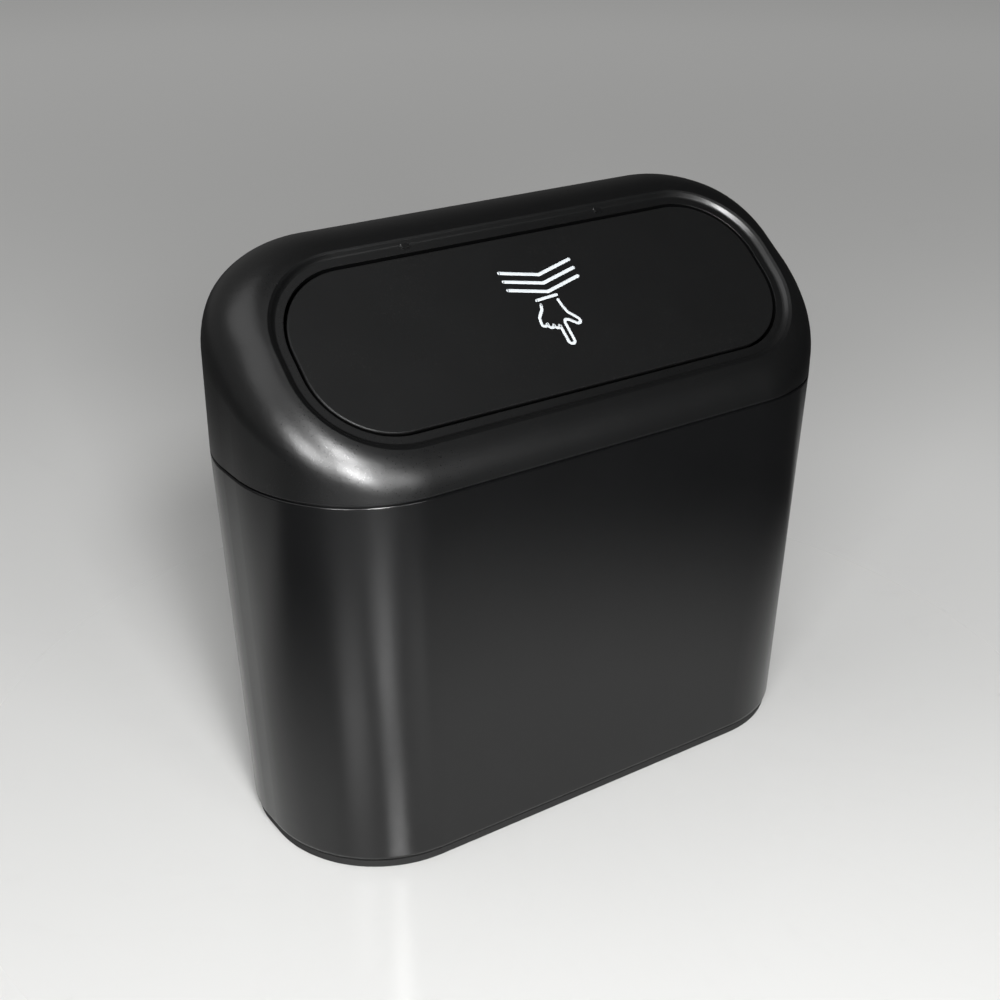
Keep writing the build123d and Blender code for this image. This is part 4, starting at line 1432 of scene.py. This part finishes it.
@dataclass
class Studio:
    """Plain pale floor, soft light and the camera."""

    eye: Place = (-0.25145, -0.35889, 0.30197)
    aim: Place = (-0.00982, 0.0, 0.09119)
    lens: float = 55.08
    sensor: float = 36.0
    sight: tuple[float, float] = (0.01, 50.0)
    floor_radius: float = 5.0
    floor_middle: float = 0.02
    floor_drop: float = 0.05 * MM
    floor_depth: float = 0.01
    floor_tone: Tone = (0.70, 0.70, 0.69)
    cloud_scale: float = 5.0
    cloud_darker: float = 0.985
    # Painted reflection: the floor's colours and masks for where the part mirrors it, pale near the part and
    # dark further off as painted shade.
    painted_reflection_tone: Tone = (0.62, 0.62, 0.61)
    painted_reflection_shade: Tone = (0.02, 0.02, 0.02)
    painted_reflection_fade: Spread = (0.09, 0.26, 0.0, 1.0)
    painted_reflection_front: Spread = (0.0, 0.10, 1.0, 0.0)
    painted_reflection_end: Spread = (0.20, 0.42, 0.0, 1.0)
    gloss_fade: Spread = (0.10, 0.32, 0.11, 0.60)
    backdrop_fade: Spread = (0.3, 1.6, 0.0, 0.26)
    world_tint: Tone = (1.0, 0.995, 0.985)
    world_toward: Place = (-0.55, 0.80, 0.10)
    world_fade: Spread = (-0.1, 0.9, 0.02, 0.16)
    backdrop_level: float = 0.42
    lamps: tuple[Lamp, ...] = (
        Lamp("key", bearing=-18.0, height=40.0, distance=1.1, size=0.20, power=6.5),
        Lamp("low_key", bearing=-22.0, height=20.0, distance=1.1, size=0.22, power=10.0),
        Lamp("left_wing", bearing=-50.0, height=23.0, distance=1.2, size=0.36, power=7.5),
        Lamp("over", bearing=40.0, height=74.0, distance=1.6, size=0.8, power=0.6),
        Lamp("right_wing", bearing=6.0, height=21.0, distance=1.2, size=0.30, power=1.9),
        Lamp("fill", bearing=-105.0, height=60.0, distance=1.9, size=1.6, power=8.0),
    )

    def camera(self) -> None:
        """Create the camera at the photographed view and make it the scene's own."""
        data = bpy.data.cameras.new("camera")
        data.lens = self.lens
        data.sensor_width = self.sensor
        data.clip_start, data.clip_end = self.sight
        camera = bpy.data.objects.new("camera", data)
        bpy.context.scene.collection.objects.link(camera)
        camera.location = self.eye
        camera.rotation_euler = (Vector(self.aim) - Vector(self.eye)).to_track_quat("-Z", "Y").to_euler()
        bpy.context.scene.camera = camera

    def floor_finish(self) -> bpy.types.Material:
        """Finish of the floor: pale and faintly cloudy, glossy near the part and matt further away.

        Its colour as seen in reflections is painted: pale only close by and in front, a painted reflection
        that brightens the part's lower faces, and dark elsewhere, painted shade in the reflections, so that
        the black pieces stay black.
        Where the camera sees it far away, it glows a little to join the backdrop.

        Returns:
            The material.
        """
        material, wiring, shader, place = fresh_material("pale floor")
        cloud = wiring.noise(place, self.cloud_scale, 3.0)
        pale = wiring.blend(cloud, tinted(self.floor_tone, self.cloud_darker), self.floor_tone)
        length = wiring.node("ShaderNodeVectorMath", {"operation": "LENGTH"})
        wiring.feed(length.inputs[0], place)
        distance = length.outputs["Value"]
        depth = wiring.node("ShaderNodeSeparateXYZ", Vector=place).outputs["Y"]
        # Painted reflection: for glossy rays the floor's colour is pale near the part, which brightens its
        # lower faces, and dark further off, painted shade in its reflections.
        ahead = wiring.product(wiring.spread(depth, *self.painted_reflection_front),
                               wiring.spread(distance, *self.painted_reflection_fade))
        far = wiring.sum("MAXIMUM", ahead, wiring.spread(distance, *self.painted_reflection_end))
        painted_reflection_colour = wiring.blend(far, self.painted_reflection_tone, self.painted_reflection_shade)
        ray = wiring.node("ShaderNodeLightPath")
        wiring.feed(shader.inputs["Base Color"], wiring.blend(ray.outputs["Is Glossy Ray"], pale, painted_reflection_colour))
        wiring.feed(shader.inputs["Roughness"], wiring.spread(distance, *self.gloss_fade))
        glow = wiring.product(wiring.spread(distance, *self.backdrop_fade), ray.outputs["Is Camera Ray"])
        wiring.feed(shader.inputs["Emission Strength"], glow)
        shader.inputs["Emission Color"].default_value = (*self.floor_tone, 1.0)
        shader.inputs["Specular IOR Level"].default_value = 1.0
        return material

    def floor(self) -> None:
        """Build the floor as a wide disc: rings whose radius grows by a steady factor outwards."""
        radius = np.geomspace(self.floor_middle, self.floor_radius, 40)[:, None]
        top = rings_about_z(radius, np.array(-self.floor_drop), full_turn(96))
        low = top[::-1] - [0.0, 0.0, self.floor_depth]
        Surface.from_rings(np.concatenate([top, low])).build("floor", self.floor_finish())

    def world(self) -> None:
        """A dim grey room, paler toward the back and the left, and where the camera sees it itself."""
        world = bpy.data.worlds.new("room")
        world.use_nodes = True
        bpy.context.scene.world = world
        wiring = Wiring(world.node_tree)
        background = world.node_tree.nodes["Background"]
        lean = wiring.node("ShaderNodeVectorMath", {"operation": "DOT_PRODUCT"})
        wiring.feed(lean.inputs[0], wiring.node("ShaderNodeTexCoord").outputs["Generated"])
        lean.inputs[1].default_value = Vector(self.world_toward).normalized()
        room = wiring.spread(lean.outputs["Value"], *self.world_fade)
        seen = wiring.node("ShaderNodeLightPath").outputs["Is Camera Ray"]
        background.inputs["Color"].default_value = (*self.world_tint, 1.0)
        wiring.feed(background.inputs["Strength"],
                    wiring.spread(seen, 0.0, 1.0, room, self.backdrop_level, smooth=False))

    def build(self) -> None:
        """Build floor, world, lamps and camera."""
        self.floor()
        self.world()
        for lamp in self.lamps:
            lamp.hang()
        self.camera()
        bpy.context.scene.view_settings.view_transform = "Standard"
        log.info("studio ready")


def main() -> None:
    """Load the frame, dress its pieces, and build the fine ones and the studio."""
    logging.basicConfig(level=logging.INFO, format="%(message)s")
    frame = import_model()
    palette = Palette(Effects())
    palette.mix()
    slope = Slope()
    for group in (Bin(), Cover(), Lid(slope), Latch(slope), Hinge(slope), Hook()):
        group.dress(frame["nodes"], palette)
        group.build(palette)
    Studio().build()


if __name__ == "__main__":
    main()
